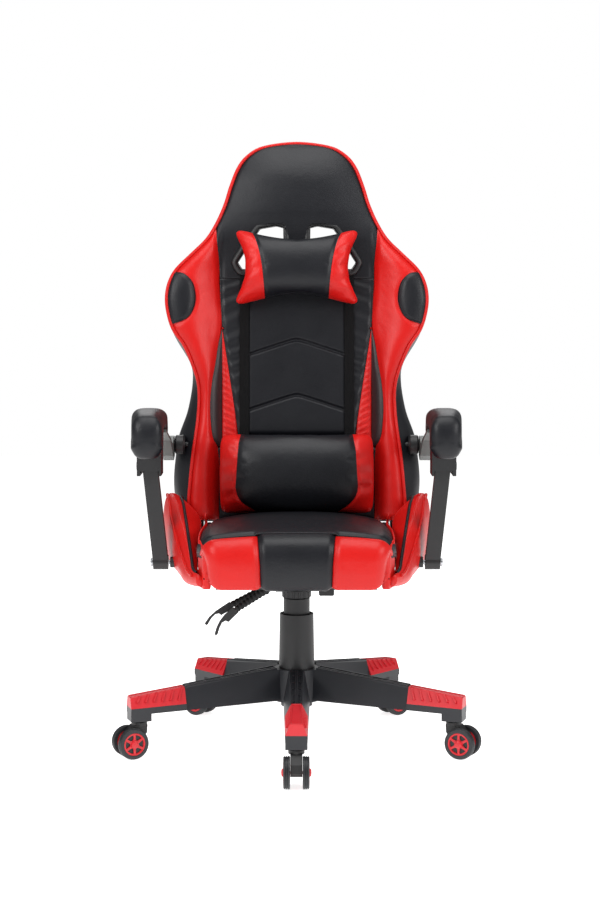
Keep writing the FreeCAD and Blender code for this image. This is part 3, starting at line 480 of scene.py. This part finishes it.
def straps():
    """Elastic bands that hold the pillows: flat ribbons lying on the back."""
    for side, sx in (("left", -1), ("right", 1)):
        s = np.linspace(60, 566, 170)
        lift = face_depth(np.full_like(s, STRAP_X), s) + 3.0 - 8.0 * ease((s - 548) / 18.0)
        ring = np.array([(-10, 0), (-10, 1.6), (-9, 2.2), (9, 2.2), (10, 1.6), (10, 0)])
        x = sx * STRAP_X + ring[None, :, 0] + 0 * s[:, None]
        w = lift[:, None] + ring[None, :, 1]
        points = on_back(x, np.broadcast_to(s[:, None], x.shape), w)
        faces = np.concatenate([grid_faces(len(s), 6, ring=True), [[0, 1, 2, 3]], [[0, 3, 4, 5]]])
        end = (len(s) - 1) * 6
        faces = np.concatenate([faces, [[end, end + 3, end + 2, end + 1]], [[end, end + 5, end + 4, end + 3]]])
        made = piece("back_strap_" + side, points, faces, WEBBING, "backrest")
        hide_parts("back_straps")


# ---------------------------------------------------------------- seat
seat_line = even(SEAT_PROFILE, 500)
seat_run = np.r_[0, np.cumsum(np.linalg.norm(np.diff(seat_line, axis=0), axis=1))]
seat_along = np.gradient(seat_line, axis=0)
seat_out = np.stack([-seat_along[:, 1], seat_along[:, 0]], axis=1)
seat_out /= np.linalg.norm(seat_out, axis=1, keepdims=True)


def seat_at(z):
    """Run along the seat profile where its front rises through height z."""
    rising = seat_line[:, 0] < -150
    return np.interp(z, seat_line[rising, 1], seat_run[rising])


def seat_taper(b):
    """Share of its full width that the pad keeps at run b; it narrows towards the foot of its front."""
    return np.interp(b, seat_at(np.array([SEAT_FLOOR, 405.0, 443.0, 466.0, 471.0])), (0.87, 0.89, 0.93, 0.97, 1.0))


def on_seat(a, b, lift):
    """Points of the seat skin: a runs across and rolls over the side edge, b runs along the profile."""
    turn = np.clip((np.abs(a) - (SEAT_HALF - SEAT_EDGE)) / SEAT_EDGE, 0, pi / 2)
    x = np.sign(a) * (np.minimum(np.abs(a), SEAT_HALF - SEAT_EDGE) + SEAT_EDGE * np.sin(turn)) * seat_taper(b)
    share = ease((b - 60) / 120.0) + 0.25 * ease((b - 300) / 130.0)
    crown = SEAT_CROWN * (np.clip(np.abs(x) / SEAT_HALF, 0, 1)) ** 2.6 * share
    roll = SEAT_EDGE * (1 - np.cos(turn))
    y = np.interp(b, seat_run, seat_line[:, 0])
    z = np.interp(b, seat_run, seat_line[:, 1])
    ny = np.interp(b, seat_run, seat_out[:, 0])
    nz = np.interp(b, seat_run, seat_out[:, 1])
    y = y + ny * (lift - roll * np.where(b < 110, 0.9, 1.0))
    return np.stack([x + 0 * y, y, z + nz * (lift - roll) - crown], axis=-1)


def no_depth(a, b):
    """Depth of a panel whose own surface already holds its shape."""
    return 0 * a


def seat_pad():
    """Seat cushion: black top and centre front, red front corners, side cheeks, underlay and lining cloth."""
    reach = SEAT_HALF - SEAT_EDGE + SEAT_EDGE * pi / 2
    top = seat_at(463.0)
    end = seat_run[-1]
    inner = 78.0
    options = {"place": on_seat, "depth": no_depth, "body": "seat", "smooth_ends": False, "seam": 3.0}
    panel("seat_underlay", ((-reach, 0), (-reach, end)), ((reach, 0), (reach, end)), PU_BLACK, "pu_black", rows=90,
          cols=60, outward=(0, -1, 1), lift=-6.0, **options)

    def front_seam(a, b):
        """The top is sewn to the red corners and runs on unbroken into the black middle of the front."""
        return 3.0 - 6.0 * np.exp(-((b - top) / 6.0) ** 2) * ease((np.abs(a) - inner) / 6.0)

    first = panel("seat_top_panel", ((-reach, top), (-reach, end)), ((reach, top), (reach, end)), PU_BLACK, "pu_black",
                  rows=160, cols=110, outward=(0, 0, 1), shape=front_seam, sewn_ends=False, **options)
    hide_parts("seat_cushion")
    panel("seat_front_panel", ((-inner, 0), (-inner, top)), ((inner, 0), (inner, top)), PU_BLACK, "pu_black",
          rows=40, cols=50, shape=lambda a, b: 3.0 + 0 * a, sewn_ends=False, **options)
    for side, sx in (("left", -1), ("right", 1)):
        panel("seat_corner_" + side, ((sx * inner, 0), (sx * inner, top)), ((sx * reach, 0), (sx * reach, top)),
              PU_RED, "pu_red", rows=40, cols=44, shape=lambda a, b: 3.0 + 0 * a, **options)
        edge = seat_line[::4] - 22.0 * seat_out[::4]
        floor = np.stack([np.clip(edge[:, 0], -232, 160), np.full(len(edge), SEAT_FLOOR)], axis=1)
        v = np.linspace(0, 1, 12)[None, :, None]
        side_grid = edge[:, None] * (1 - v) + floor[:, None] * v
        x = sx * (SEAT_HALF - 3.0) * seat_taper(seat_run[::4])[:, None] + np.zeros(side_grid.shape[:2])
        points = np.stack([x, side_grid[..., 0], side_grid[..., 1]], axis=-1)
        made = piece("seat_cheek_" + side, points, grid_faces(*x.shape), PU_RED, "seat", (sx, 0, 0),
                     wall=3.0)
    y, x = np.meshgrid(np.linspace(-232, 150, 12), np.linspace(-178, 178, 12), indexing="ij")
    piece("seat_lining", np.stack([x, y, 377.0 + 0 * x], axis=-1), grid_faces(12, 12), WEBBING, "seat",
          (0, 0, -1), wall=2.0)


# sections of a seat bolster: y, then (x, z) of the floor, belly, outer ridge, inner top and inner foot
WING = ((-222, (180, 361), (190, 366), (192, 378), (187, 384), (174, 372)),
        (-190, (196, 358), (207, 366), (207, 382), (200, 389), (184, 374)),
        (-150, (212, 357), (223, 370), (218, 395), (206, 404), (192, 380)),
        (-80, (226, 359), (238, 384), (235, 424), (216, 438), (197, 400)),
        (0, (246, 366), (258, 408), (252, 460), (226, 466), (197, 420)),
        (60, (257, 370), (270, 424), (260, 485), (234, 486), (197, 430)),
        (115, (262, 373), (277, 448), (268, 498), (242, 494), (200, 440)),
        (168, (262, 380), (276, 455), (268, 490), (242, 486), (218, 440)))


def seat_wings():
    """Side bolsters of the seat, with red piping along the outer ridge and black trim along the inner top."""
    ys = np.array([row[0] for row in WING], float)
    loops = np.array([row[1:] for row in WING], float)
    control = np.concatenate([ys[:, None, None] + 0 * loops[..., :1], loops], axis=-1)
    along = through(control, 90)
    ring = np.concatenate([along[:, -1:], along, along[:, :2]], axis=1)
    grid = through(ring.transpose(1, 0, 2), 7 * 12 + 1)[12:-12].transpose(1, 0, 2)
    grid = grid[:, :-1]
    for side, sx in (("left", -1), ("right", 1)):
        points = grid[..., [1, 0, 2]] * np.array([sx, 1.0, 1.0])
        first, last = points[:1], points[-1:]
        points = np.concatenate([first.mean(axis=1, keepdims=True) + 0 * first, points,
                                 last.mean(axis=1, keepdims=True) + 0 * last])
        made = piece("seat_bolster_" + side, points, grid_faces(len(points), points.shape[1], ring=True), PU_RED,
                     "seat")
        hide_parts("seat_wing_" + side)
        ridge, top = (even(along[along[:, k, 0] > -205.0, k], 120)[:, [1, 0, 2]] * np.array([sx, 1.0, 1.0])
                      for k in (2, 3))
        line = ridge + np.array([sx * 1.0, 0, 1.0])
        cord_piece("seat_piping_" + side, line, 3.0, PU_RED, "seat")
        cord_piece("seat_trim_" + side, top - np.array([sx * 1.5, 0, 0]), 3.4, PU_BLACK, "seat")


# ---------------------------------------------------------------- pillows
def filled(obj, cap, back_w, pressure=4.0):
    """Fill a sewn cover by cloth pressure; no point travels further than cap, and none behind depth back_w, in mm."""
    scene = bpy.context.scene
    count = len(obj.data.vertices)
    before = np.empty(count * 3)
    obj.data.vertices.foreach_get("co", before)
    cloth = obj.modifiers.new("fill", "CLOTH")
    cloth.settings.quality = 6
    cloth.settings.mass = 0.25
    cloth.settings.tension_stiffness = 20.0
    cloth.settings.compression_stiffness = 12.0
    cloth.settings.shear_stiffness = 6.0
    cloth.settings.bending_stiffness = 0.2
    cloth.settings.use_pressure = True
    cloth.settings.uniform_pressure_force = pressure
    cloth.settings.effector_weights.gravity = 0.0
    cloth.collision_settings.use_collision = False
    for step in range(1, 21):
        scene.frame_set(step)
    after = np.empty(count * 3)
    obj.evaluated_get(bpy.context.evaluated_depsgraph_get()).data.vertices.foreach_get("co", after)
    obj.modifiers.remove(cloth)
    move = (after - before).reshape(-1, 3)
    reach = np.linalg.norm(move, axis=1, keepdims=True)
    move *= np.minimum(1.0, cap * MM / np.maximum(reach, 1e-9))
    place = before.reshape(-1, 3) + move
    depth = (HINGE_Y * MM - place[:, 1]) * cos(BACK_TILT) + (place[:, 2] - HINGE_Z * MM) * sin(BACK_TILT)
    short = np.maximum(back_w * MM - depth, 0.0)
    place += short[:, None] * np.array([0.0, -cos(BACK_TILT), sin(BACK_TILT)])
    obj.data.vertices.foreach_set("co", place.ravel())
    obj.data.update()
    scene.frame_set(1)


def pillow(name, node, body, half_x, half_s, centre_s, back_w, front_w, waist, pinch, seam, flare, tuck, blunt,
           fold, cap):
    """Two faces sewn at their rim, drawn in between the corners, then filled by cloth pressure.
    The sewn line between centre and ends is at the share seam of the half-width, plus flare times height and
    drawn in by tuck at the foot; blunt rounds the corners and fold is the height of the gathers, in mm."""
    rows, cols = 57, 97
    v, u = np.meshgrid(np.linspace(-1, 1, rows), np.linspace(-1, 1, cols), indexing="ij")
    line = seam + flare * v - tuck * np.clip(-v - 0.3, 0, 1) ** 2
    u = np.where(np.abs(u) < 0.6, u / 0.6 * line, np.sign(u) * (line + (np.abs(u) - 0.6) / 0.4 * (1 - line)))
    corner = 1 - blunt * (np.abs(u) * np.abs(v)) ** 8
    s = centre_s + half_s * v * (1 - waist * (1 - u ** 2) ** 1.3) * corner
    x = half_x * u * (1 - pinch * (1 - v ** 2) * np.abs(u)) * corner
    full = ((1 - np.abs(u) ** 3.2) * (1 - np.abs(v) ** 2.6)) ** 0.5
    rim = back_w + 0.30 * (front_w - back_w)
    groove = np.exp(-((np.abs(u) - line) * half_x / 5.0) ** 2) * 3.5
    gather = fold * np.sin(v * 17.0 + 2.0 * np.sin(u * 5.0)) * ease((np.abs(u) - 0.55) / 0.3) * ease(full * 2.5)
    front = on_back(x, s, rim + (front_w - rim) * full - groove * ease(full * 3) + gather)
    back = on_back(x, s, rim - (rim - back_w) * np.minimum(full * 1.5, 1.0))
    points = np.concatenate([front.reshape(-1, 3), back.reshape(-1, 3)])
    faces = grid_faces(rows, cols)
    columns = np.abs((np.linspace(-1, 1, cols)[1:] + np.linspace(-1, 1, cols)[:-1]) / 2)
    tone = np.broadcast_to(columns > 0.6, (rows - 1, cols - 1)).astype(int).ravel()
    faces = np.concatenate([faces, faces[:, ::-1] + rows * cols])
    made = piece(name, points, faces, [PU_BLACK, PU_RED], body, parts=np.r_[tone, tone])
    filled(made, cap, back_w)
    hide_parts(node)
    smooth = made.modifiers.new("smooth", "SUBSURF")
    smooth.levels = smooth.render_levels = 1
    return made


def pillows():
    pillow("head_pillow_cover", "head_pillow", "pillow_head", 142, 87, 565, 54.0, 116, 0.25, 0.19, 0.57, 0.10, 0.0,
           0.12, 1.3, 8.0)
    pillow("lumbar_pillow_cover", "lumbar_pillow", "pillow_lumbar", 163, 86, 128, 51.0, 142, 0.03, 0.0, 0.77, -0.04,
           0.60, 0.06, 0.6, 10.0)


# ---------------------------------------------------------------- armrests
ARM_TOP = ((-160, 673), (-138, 684), (-100, 690), (-20, 690), (60, 680), (110, 663), (140, 646))
ARM_LOW = ((-160, 600), (-134, 600), (-112, 617), (-40, 640.5), (60, 639), (118, 617), (140, 623))
ARM_CAP = 24.0               # depth over which each end of the pad rounds off


def arm_pads():
    """Stitched arm pad: squarish sections along the arm, rounded off at both ends, with a lip seam low round it."""
    stations = 110
    share = np.linspace(0, 1, stations)
    spread = ease(share) * 0.5 + share * 0.5
    y = -160.0 + 300.0 * spread
    top = curve_of(ARM_TOP)(y)
    low = curve_of(ARM_LOW)(y)
    gap = np.clip(1 - np.minimum(y + 160.0, 140.0 - y) / ARM_CAP, 0, 1)
    full = (1 - gap ** 2.6) ** (1 / 2.6)
    a = np.linspace(0, 2 * pi, 56, endpoint=False)
    cx = np.sign(np.cos(a)) * np.abs(np.cos(a)) ** 0.62
    cz = np.sign(np.sin(a)) * np.abs(np.sin(a)) ** 0.62
    lip = 2.0 * np.exp(-((cz + 0.50) / 0.13) ** 2) - 1.4 * np.exp(-((cz + 0.26) / 0.09) ** 2)
    broad = np.interp(y, (-160, -60, 60, 140), (30.0, 32.5, 32.5, 29.0))
    centre = np.interp(y, (-160, -60, 140), (290.0, 295.0, 297.0))
    front = ease((-60.0 - y) / 70.0)
    for side, sx in (("left", -1), ("right", 1)):
        across = (cx[None] * broad[:, None] + np.sign(cx)[None] * lip[None] * front[:, None]) * full[:, None]
        z = (top + low)[:, None] / 2 + cz[None] * ((top - low) / 2 * full)[:, None]
        points = np.stack([sx * (centre[:, None] - across), y[:, None] + 0 * z, z], axis=-1)
        # lining marks the inner side of the pad, given the dark reddish finish of painted shade with a painted red
        # reflection
        lining = (cx > 0.55) & (cz > -0.45) & (cz < 0.9)
        inner = (lining[None] & (y[:-1, None] > -146.0)).astype(int).ravel()
        made = piece("arm_pad_cover_" + side, points, grid_faces(stations, 56, ring=True), [PU_BLACK, PU_BLACK_SHADED_RED],
                     "arm_" + side, parts=inner)
        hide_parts("arm_pad_" + side)


# ---------------------------------------------------------------- base
PAD_START = 238.0
PAD_END = 350.0


def leg_top(r):
    """Height of a leg's upper face at radius r."""
    return 163.0 - 0.13 * (r - 30.0)


def base_details():
    """Raised ribs along each leg, and the diagonal ribs and rim of each foot pad."""
    bead = np.array([(-1, -1.5), (-1, 0.4), (-0.55, 1), (0.55, 1), (1, 0.4), (1, -1.5)])
    for i in range(5):
        angle = -90.0 + 72.0 * i
        r = np.linspace(46.0, PAD_START - 1.0, 40)
        grids = []
        top_half = np.interp(r, (20, PAD_START), (16, 11))
        for share, wide, tall in ((-0.84, 2.3, 2.4), (0.0, 2.6, 1.8), (0.84, 2.3, 2.4)):
            path = np.stack([r, share * top_half, leg_top(r) + 0.2], axis=1)
            grids.append(swept(path, bead * (wide, tall)))
        ring = np.linspace(0, 1, 12)
        for at in (70.0, 108.0, 146.0, 184.0, 218.0):
            half = np.interp(at, (20, PAD_START), (16, 11)) * 0.84
            path = np.stack([at + 14.0 * np.abs(2 * ring - 1), half * (2 * ring - 1), leg_top(at) + 0 * ring - 1.2],
                            axis=1)
            grids.append(swept(path, bead * (1.4, 1.6)))
        join_beads("leg_ribs_%d" % (i + 1), grids, angle, NYLON)
        grids = []
        for side in (-1, 1):
            for k in range(6):
                r0 = PAD_START + 6.0 + 17.0 * k
                r1 = r0 + 9.0
                high = np.array([r0, side * np.interp(r0, (238, 328, 350), (9.5, 12, 13)), leg_top(r0)])
                low = np.array([r1, side * np.interp(r1, (238, 328, 350), (21.9, 20.6, 19.8)), 113.0])
                t = np.linspace(0.02, 0.97, 8)[:, None]
                grids.append(swept(high * (1 - t) + low * t, bead * (1.9, 1.7), up=(0, side, 0.5)))
            r = np.linspace(PAD_START + 1.5, PAD_END - 2.0, 20)
            half = np.interp(r, (238, 328, 350), (9.5, 12, 13))
            grids.append(swept(np.stack([r, side * (half - 1.2), leg_top(r) + 0.1], axis=1), bead * (1.6, 1.5)))
        cross = np.linspace(-1, 1, 8)
        for at in (PAD_START + 2.0, PAD_END - 3.0):
            half = np.interp(at, (238, 350), (8.4, 12.0))
            grids.append(swept(np.stack([at + 0 * cross, cross * half, leg_top(at) + 0 * cross], axis=1),
                               bead * (1.6, 1.5)))
        join_beads("pad_ribs_%d" % (i + 1), grids, angle, PLASTIC_RED)


def join_beads(name, grids, angle, finish, body="base"):
    """Several swept bars, each closed at its ends, turned to their leg as one piece."""
    points, faces, offset = [], [], 0
    for grid in grids:
        ends = np.stack([grid[0].mean(axis=0), grid[-1].mean(axis=0)])
        closed = np.concatenate([ends[:1, None] + 0 * grid[:1], grid, ends[1:, None] + 0 * grid[:1]])
        points.append(turned(closed, angle, (0.0, 0.0)).reshape(-1, 3))
        faces.append(grid_faces(len(closed), closed.shape[1], ring=True) + offset)
        offset += len(points[-1])
    return piece(name, np.concatenate(points), np.concatenate(faces), finish, body, smooth=False)


# ---------------------------------------------------------------- levers and covers
def lever_details():
    """Ribbed bellows over the neck of each lever."""
    for name, y, end in (("height", 0.0, (-132.0, 288.2)), ("recline", -35.0, (-122.0, 284.3))):
        start = np.array([-58.0, y, 324.5])
        bend = np.array([-68.0, y, 320.0])
        last = np.array([end[0], y, end[1]])
        path = even(np.stack([start, bend, (bend + last) / 2, last]), 90)
        t = np.linspace(0, 1, 90)
        radius = 7.4 + 1.5 * np.abs(np.sin(9 * pi * t)) - 2.2 * t
        grid = swept(path, round_profile(1.0, 20), up=(0, 1, 0))
        grid = path[:, None] + (grid - path[:, None]) * radius[:, None, None]
        join_beads("lever_bellows_" + name, [grid], 0.0, RUBBER, "lever_" + name)


def small_covers():
    """Domed covers over the armrest studs of the back, and the folded tab under the seat plate."""
    profile = ((236.0, 0.01), (236.0, 17.0), (240.0, 20.5), (254.0, 20.5), (257.0, 18.0), (257.3, 7.0), (257.3, 0.01))
    for side, sx in (("left", -1), ("right", 1)):
        dome = lathe(profile, 40) * np.array([sx, 1.0, 1.0]) + np.array([0.0, STUD_Y, STUD_Z])
        piece("stud_cover_" + side, dome, grid_faces(len(profile), 40, ring=True), PLASTIC_BLACK, "backrest",
              smooth=False)
    y = np.linspace(-124.0, -96.0, 3)
    tab = np.stack([np.full(3, 59.0), y, np.full(3, 336.0)], axis=1)
    join_beads("plate_tab", [swept(tab, [(-13, -9), (-15, -7), (-15, 14), (15, 14), (15, -7), (13, -9)])], 0.0,
               COAT_BLACK, "seat")


# ---------------------------------------------------------------- casters
CASTER_HEADING = (-90.0, -27.0, 35.0, 145.0, 207.0)
SOCKET_AT = 329.0
TRAIL = 20.0
WHEEL_R = 31.0


def turned(points, angle, centre):
    """Points turned about Z and moved to a place."""
    c, s = cos(radians(angle)), sin(radians(angle))
    p = np.asarray(points, float)
    return np.stack([p[..., 0] * c - p[..., 1] * s + centre[0], p[..., 0] * s + p[..., 1] * c + centre[1], p[..., 2]],
                    axis=-1)


def wheel_parts(sx):
    """Grooved tyre and hub disc of one wheel, about its own axle along X."""
    tyre = [(11.8, 22.6), (11.8, 29.0), (13.0, 31.0), (15.6, 31.0), (16.2, 29.6), (17.2, 29.6), (17.8, 31.0),
            (19.4, 31.0), (20.0, 29.6), (21.0, 29.6), (21.6, 30.8), (23.4, 30.2), (24.6, 28.6), (24.7, 25.0),
            (24.4, 22.6)]
    disc = [(13.0, 0.01), (13.0, 22.6), (23.8, 22.6), (24.9, 21.4), (24.6, 19.4), (21.8, 18.4), (21.4, 9.2),
            (24.2, 8.2), (26.8, 7.4), (28.2, 5.0), (28.7, 0.01)]
    both = []
    for profile, ring in ((tyre, True), (disc, False)):
        g = lathe(profile, 60)
        g[..., 0] *= sx
        both.append((g, grid_faces(len(profile), 60, ring=True, loop=ring)))
    return both


def spoke(sx):
    """One tapered spoke from the hub boss to the hub ring, with rounded edges."""
    r = np.linspace(7.0, 20.0, 6)
    wide = np.interp(r, (7, 20), (2.6, 2.0)) + 0.9 * ((r - 13.5) / 6.5) ** 2
    ring = np.array([(-1, 21.2), (-1, 23.8), (-0.6, 24.4), (0.6, 24.4), (1, 23.8), (1, 21.2)])
    y = wide[:, None] * ring[None, :, 0]
    x = np.broadcast_to(sx * ring[None, :, 1], y.shape)
    return np.stack([x, y, np.broadcast_to(r[:, None], y.shape)], axis=-1)


def casters():
    for i, heading in enumerate(CASTER_HEADING):
        leg = radians(-90.0 + 72.0 * i)
        centre = (SOCKET_AT * cos(leg), SOCKET_AT * sin(leg))
        for side, sx in (("left", -1), ("right", 1)):
            body = "caster_%d_%s" % (i + 1, side)
            (tyre, tyre_faces), (disc, disc_faces) = wheel_parts(sx)
            place = lambda g: turned(g + np.array([0, TRAIL, WHEEL_R]), heading - 90.0, centre)
            made = piece(body + "_tyre", place(tyre), tyre_faces, TYRE, body, smooth=False)
            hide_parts("caster_%d_wheel_%s" % (i + 1, side))
            hub_points = [place(disc).reshape(-1, 3)]
            hub_faces = [disc_faces]
            offset = len(hub_points[0])
            one = spoke(sx)
            for k in range(6):
                a = k * pi / 3
                z = one[..., 2] * cos(a) - one[..., 1] * sin(a)
                y = one[..., 2] * sin(a) + one[..., 1] * cos(a)
                hub_points.append(place(np.stack([one[..., 0], y, z], axis=-1)).reshape(-1, 3))
                hub_faces.append(grid_faces(6, 6, ring=True) + offset)
                offset += 36
            dark = np.concatenate([np.zeros(len(disc_faces), int), np.zeros(6 * 30, int)])
            middle_row = np.repeat(np.arange(len(disc_faces) // 60), 60)
            dark[:len(disc_faces)][middle_row == 5] = 1
            piece(body + "_hub", np.concatenate(hub_points), np.concatenate(hub_faces), [PLASTIC_RED, PLASTIC_BLACK],
                  body, parts=dark, smooth=False)


# ---------------------------------------------------------------- stage
AMBIENT = 0.24               # strength of the studio's all-round light; the backdrop itself is seen as white


def stage():
    """White floor, soft studio light and the camera."""
    scene = bpy.context.scene
    scene.view_settings.view_transform = "Standard"
    world = bpy.data.worlds.new("studio") if scene.world is None else scene.world
    scene.world = world
    world.use_nodes = True
    background = world.node_tree.nodes["Background"]
    background.inputs["Color"].default_value = (1.0, 1.0, 1.0, 1.0)
    seen = add(world.node_tree, "ShaderNodeLightPath", {}).outputs["Is Camera Ray"]
    level = add(world.node_tree, "ShaderNodeMapRange", {0: seen, 3: AMBIENT, 4: 1.0})
    world.node_tree.links.new(level.outputs[0], background.inputs["Strength"])
    white = finish_of("floor_paint", ("#fafafa", "#ffffff"), 900.0, (), 0.8, Emission_Color=(1.0, 1.0, 1.0, 1.0),
                      Emission_Strength=0.8)
    far = 6.0
    mesh = bpy.data.meshes.new("floor")
    mesh.from_pydata([(-far, -far, 0), (far, -far, 0), (far, far, 0), (-far, far, 0)], [], [(0, 1, 2, 3)])
    mesh.materials.append(white)
    floor = bpy.data.objects.new("floor", mesh)
    scene.collection.objects.link(floor)
    lights = (("key", (-2.2, -2.0, 2.3), 1.4, 60.0), ("fill", (2.5, -1.6, 1.9), 1.4, 46.0),
              ("top", (0.0, -0.6, 3.2), 2.2, 60.0), ("rim", (0.0, 2.6, 2.4), 2.0, 30.0))
    target = np.array([0.0, 0.0, 0.7])
    for name, place, size, power in lights:
        data = bpy.data.lights.new(name, "AREA")
        data.shape = "SQUARE"
        data.size = size
        data.energy = power
        lamp = bpy.data.objects.new(name, data)
        lamp.location = place
        aim = type(lamp.location)(target - np.array(place))
        lamp.rotation_euler = aim.to_track_quat("-Z", "Y").to_euler()
        scene.collection.objects.link(lamp)
    camera_data = bpy.data.cameras.new("camera")
    camera_data.lens = 80.0
    camera_data.sensor_width = 36.0
    camera = bpy.data.objects.new("camera", camera_data)
    camera.location = (0.0068, -4.013, 0.985)
    camera.rotation_euler = (radians(84.57), 0, 0)
    scene.collection.objects.link(camera)
    scene.camera = camera


dress_cad_nodes()
back_panels()
back_shell()
eyelets()
straps()
seat_pad()
seat_wings()
pillows()
arm_pads()
base_details()
lever_details()
small_covers()
casters()
stage()
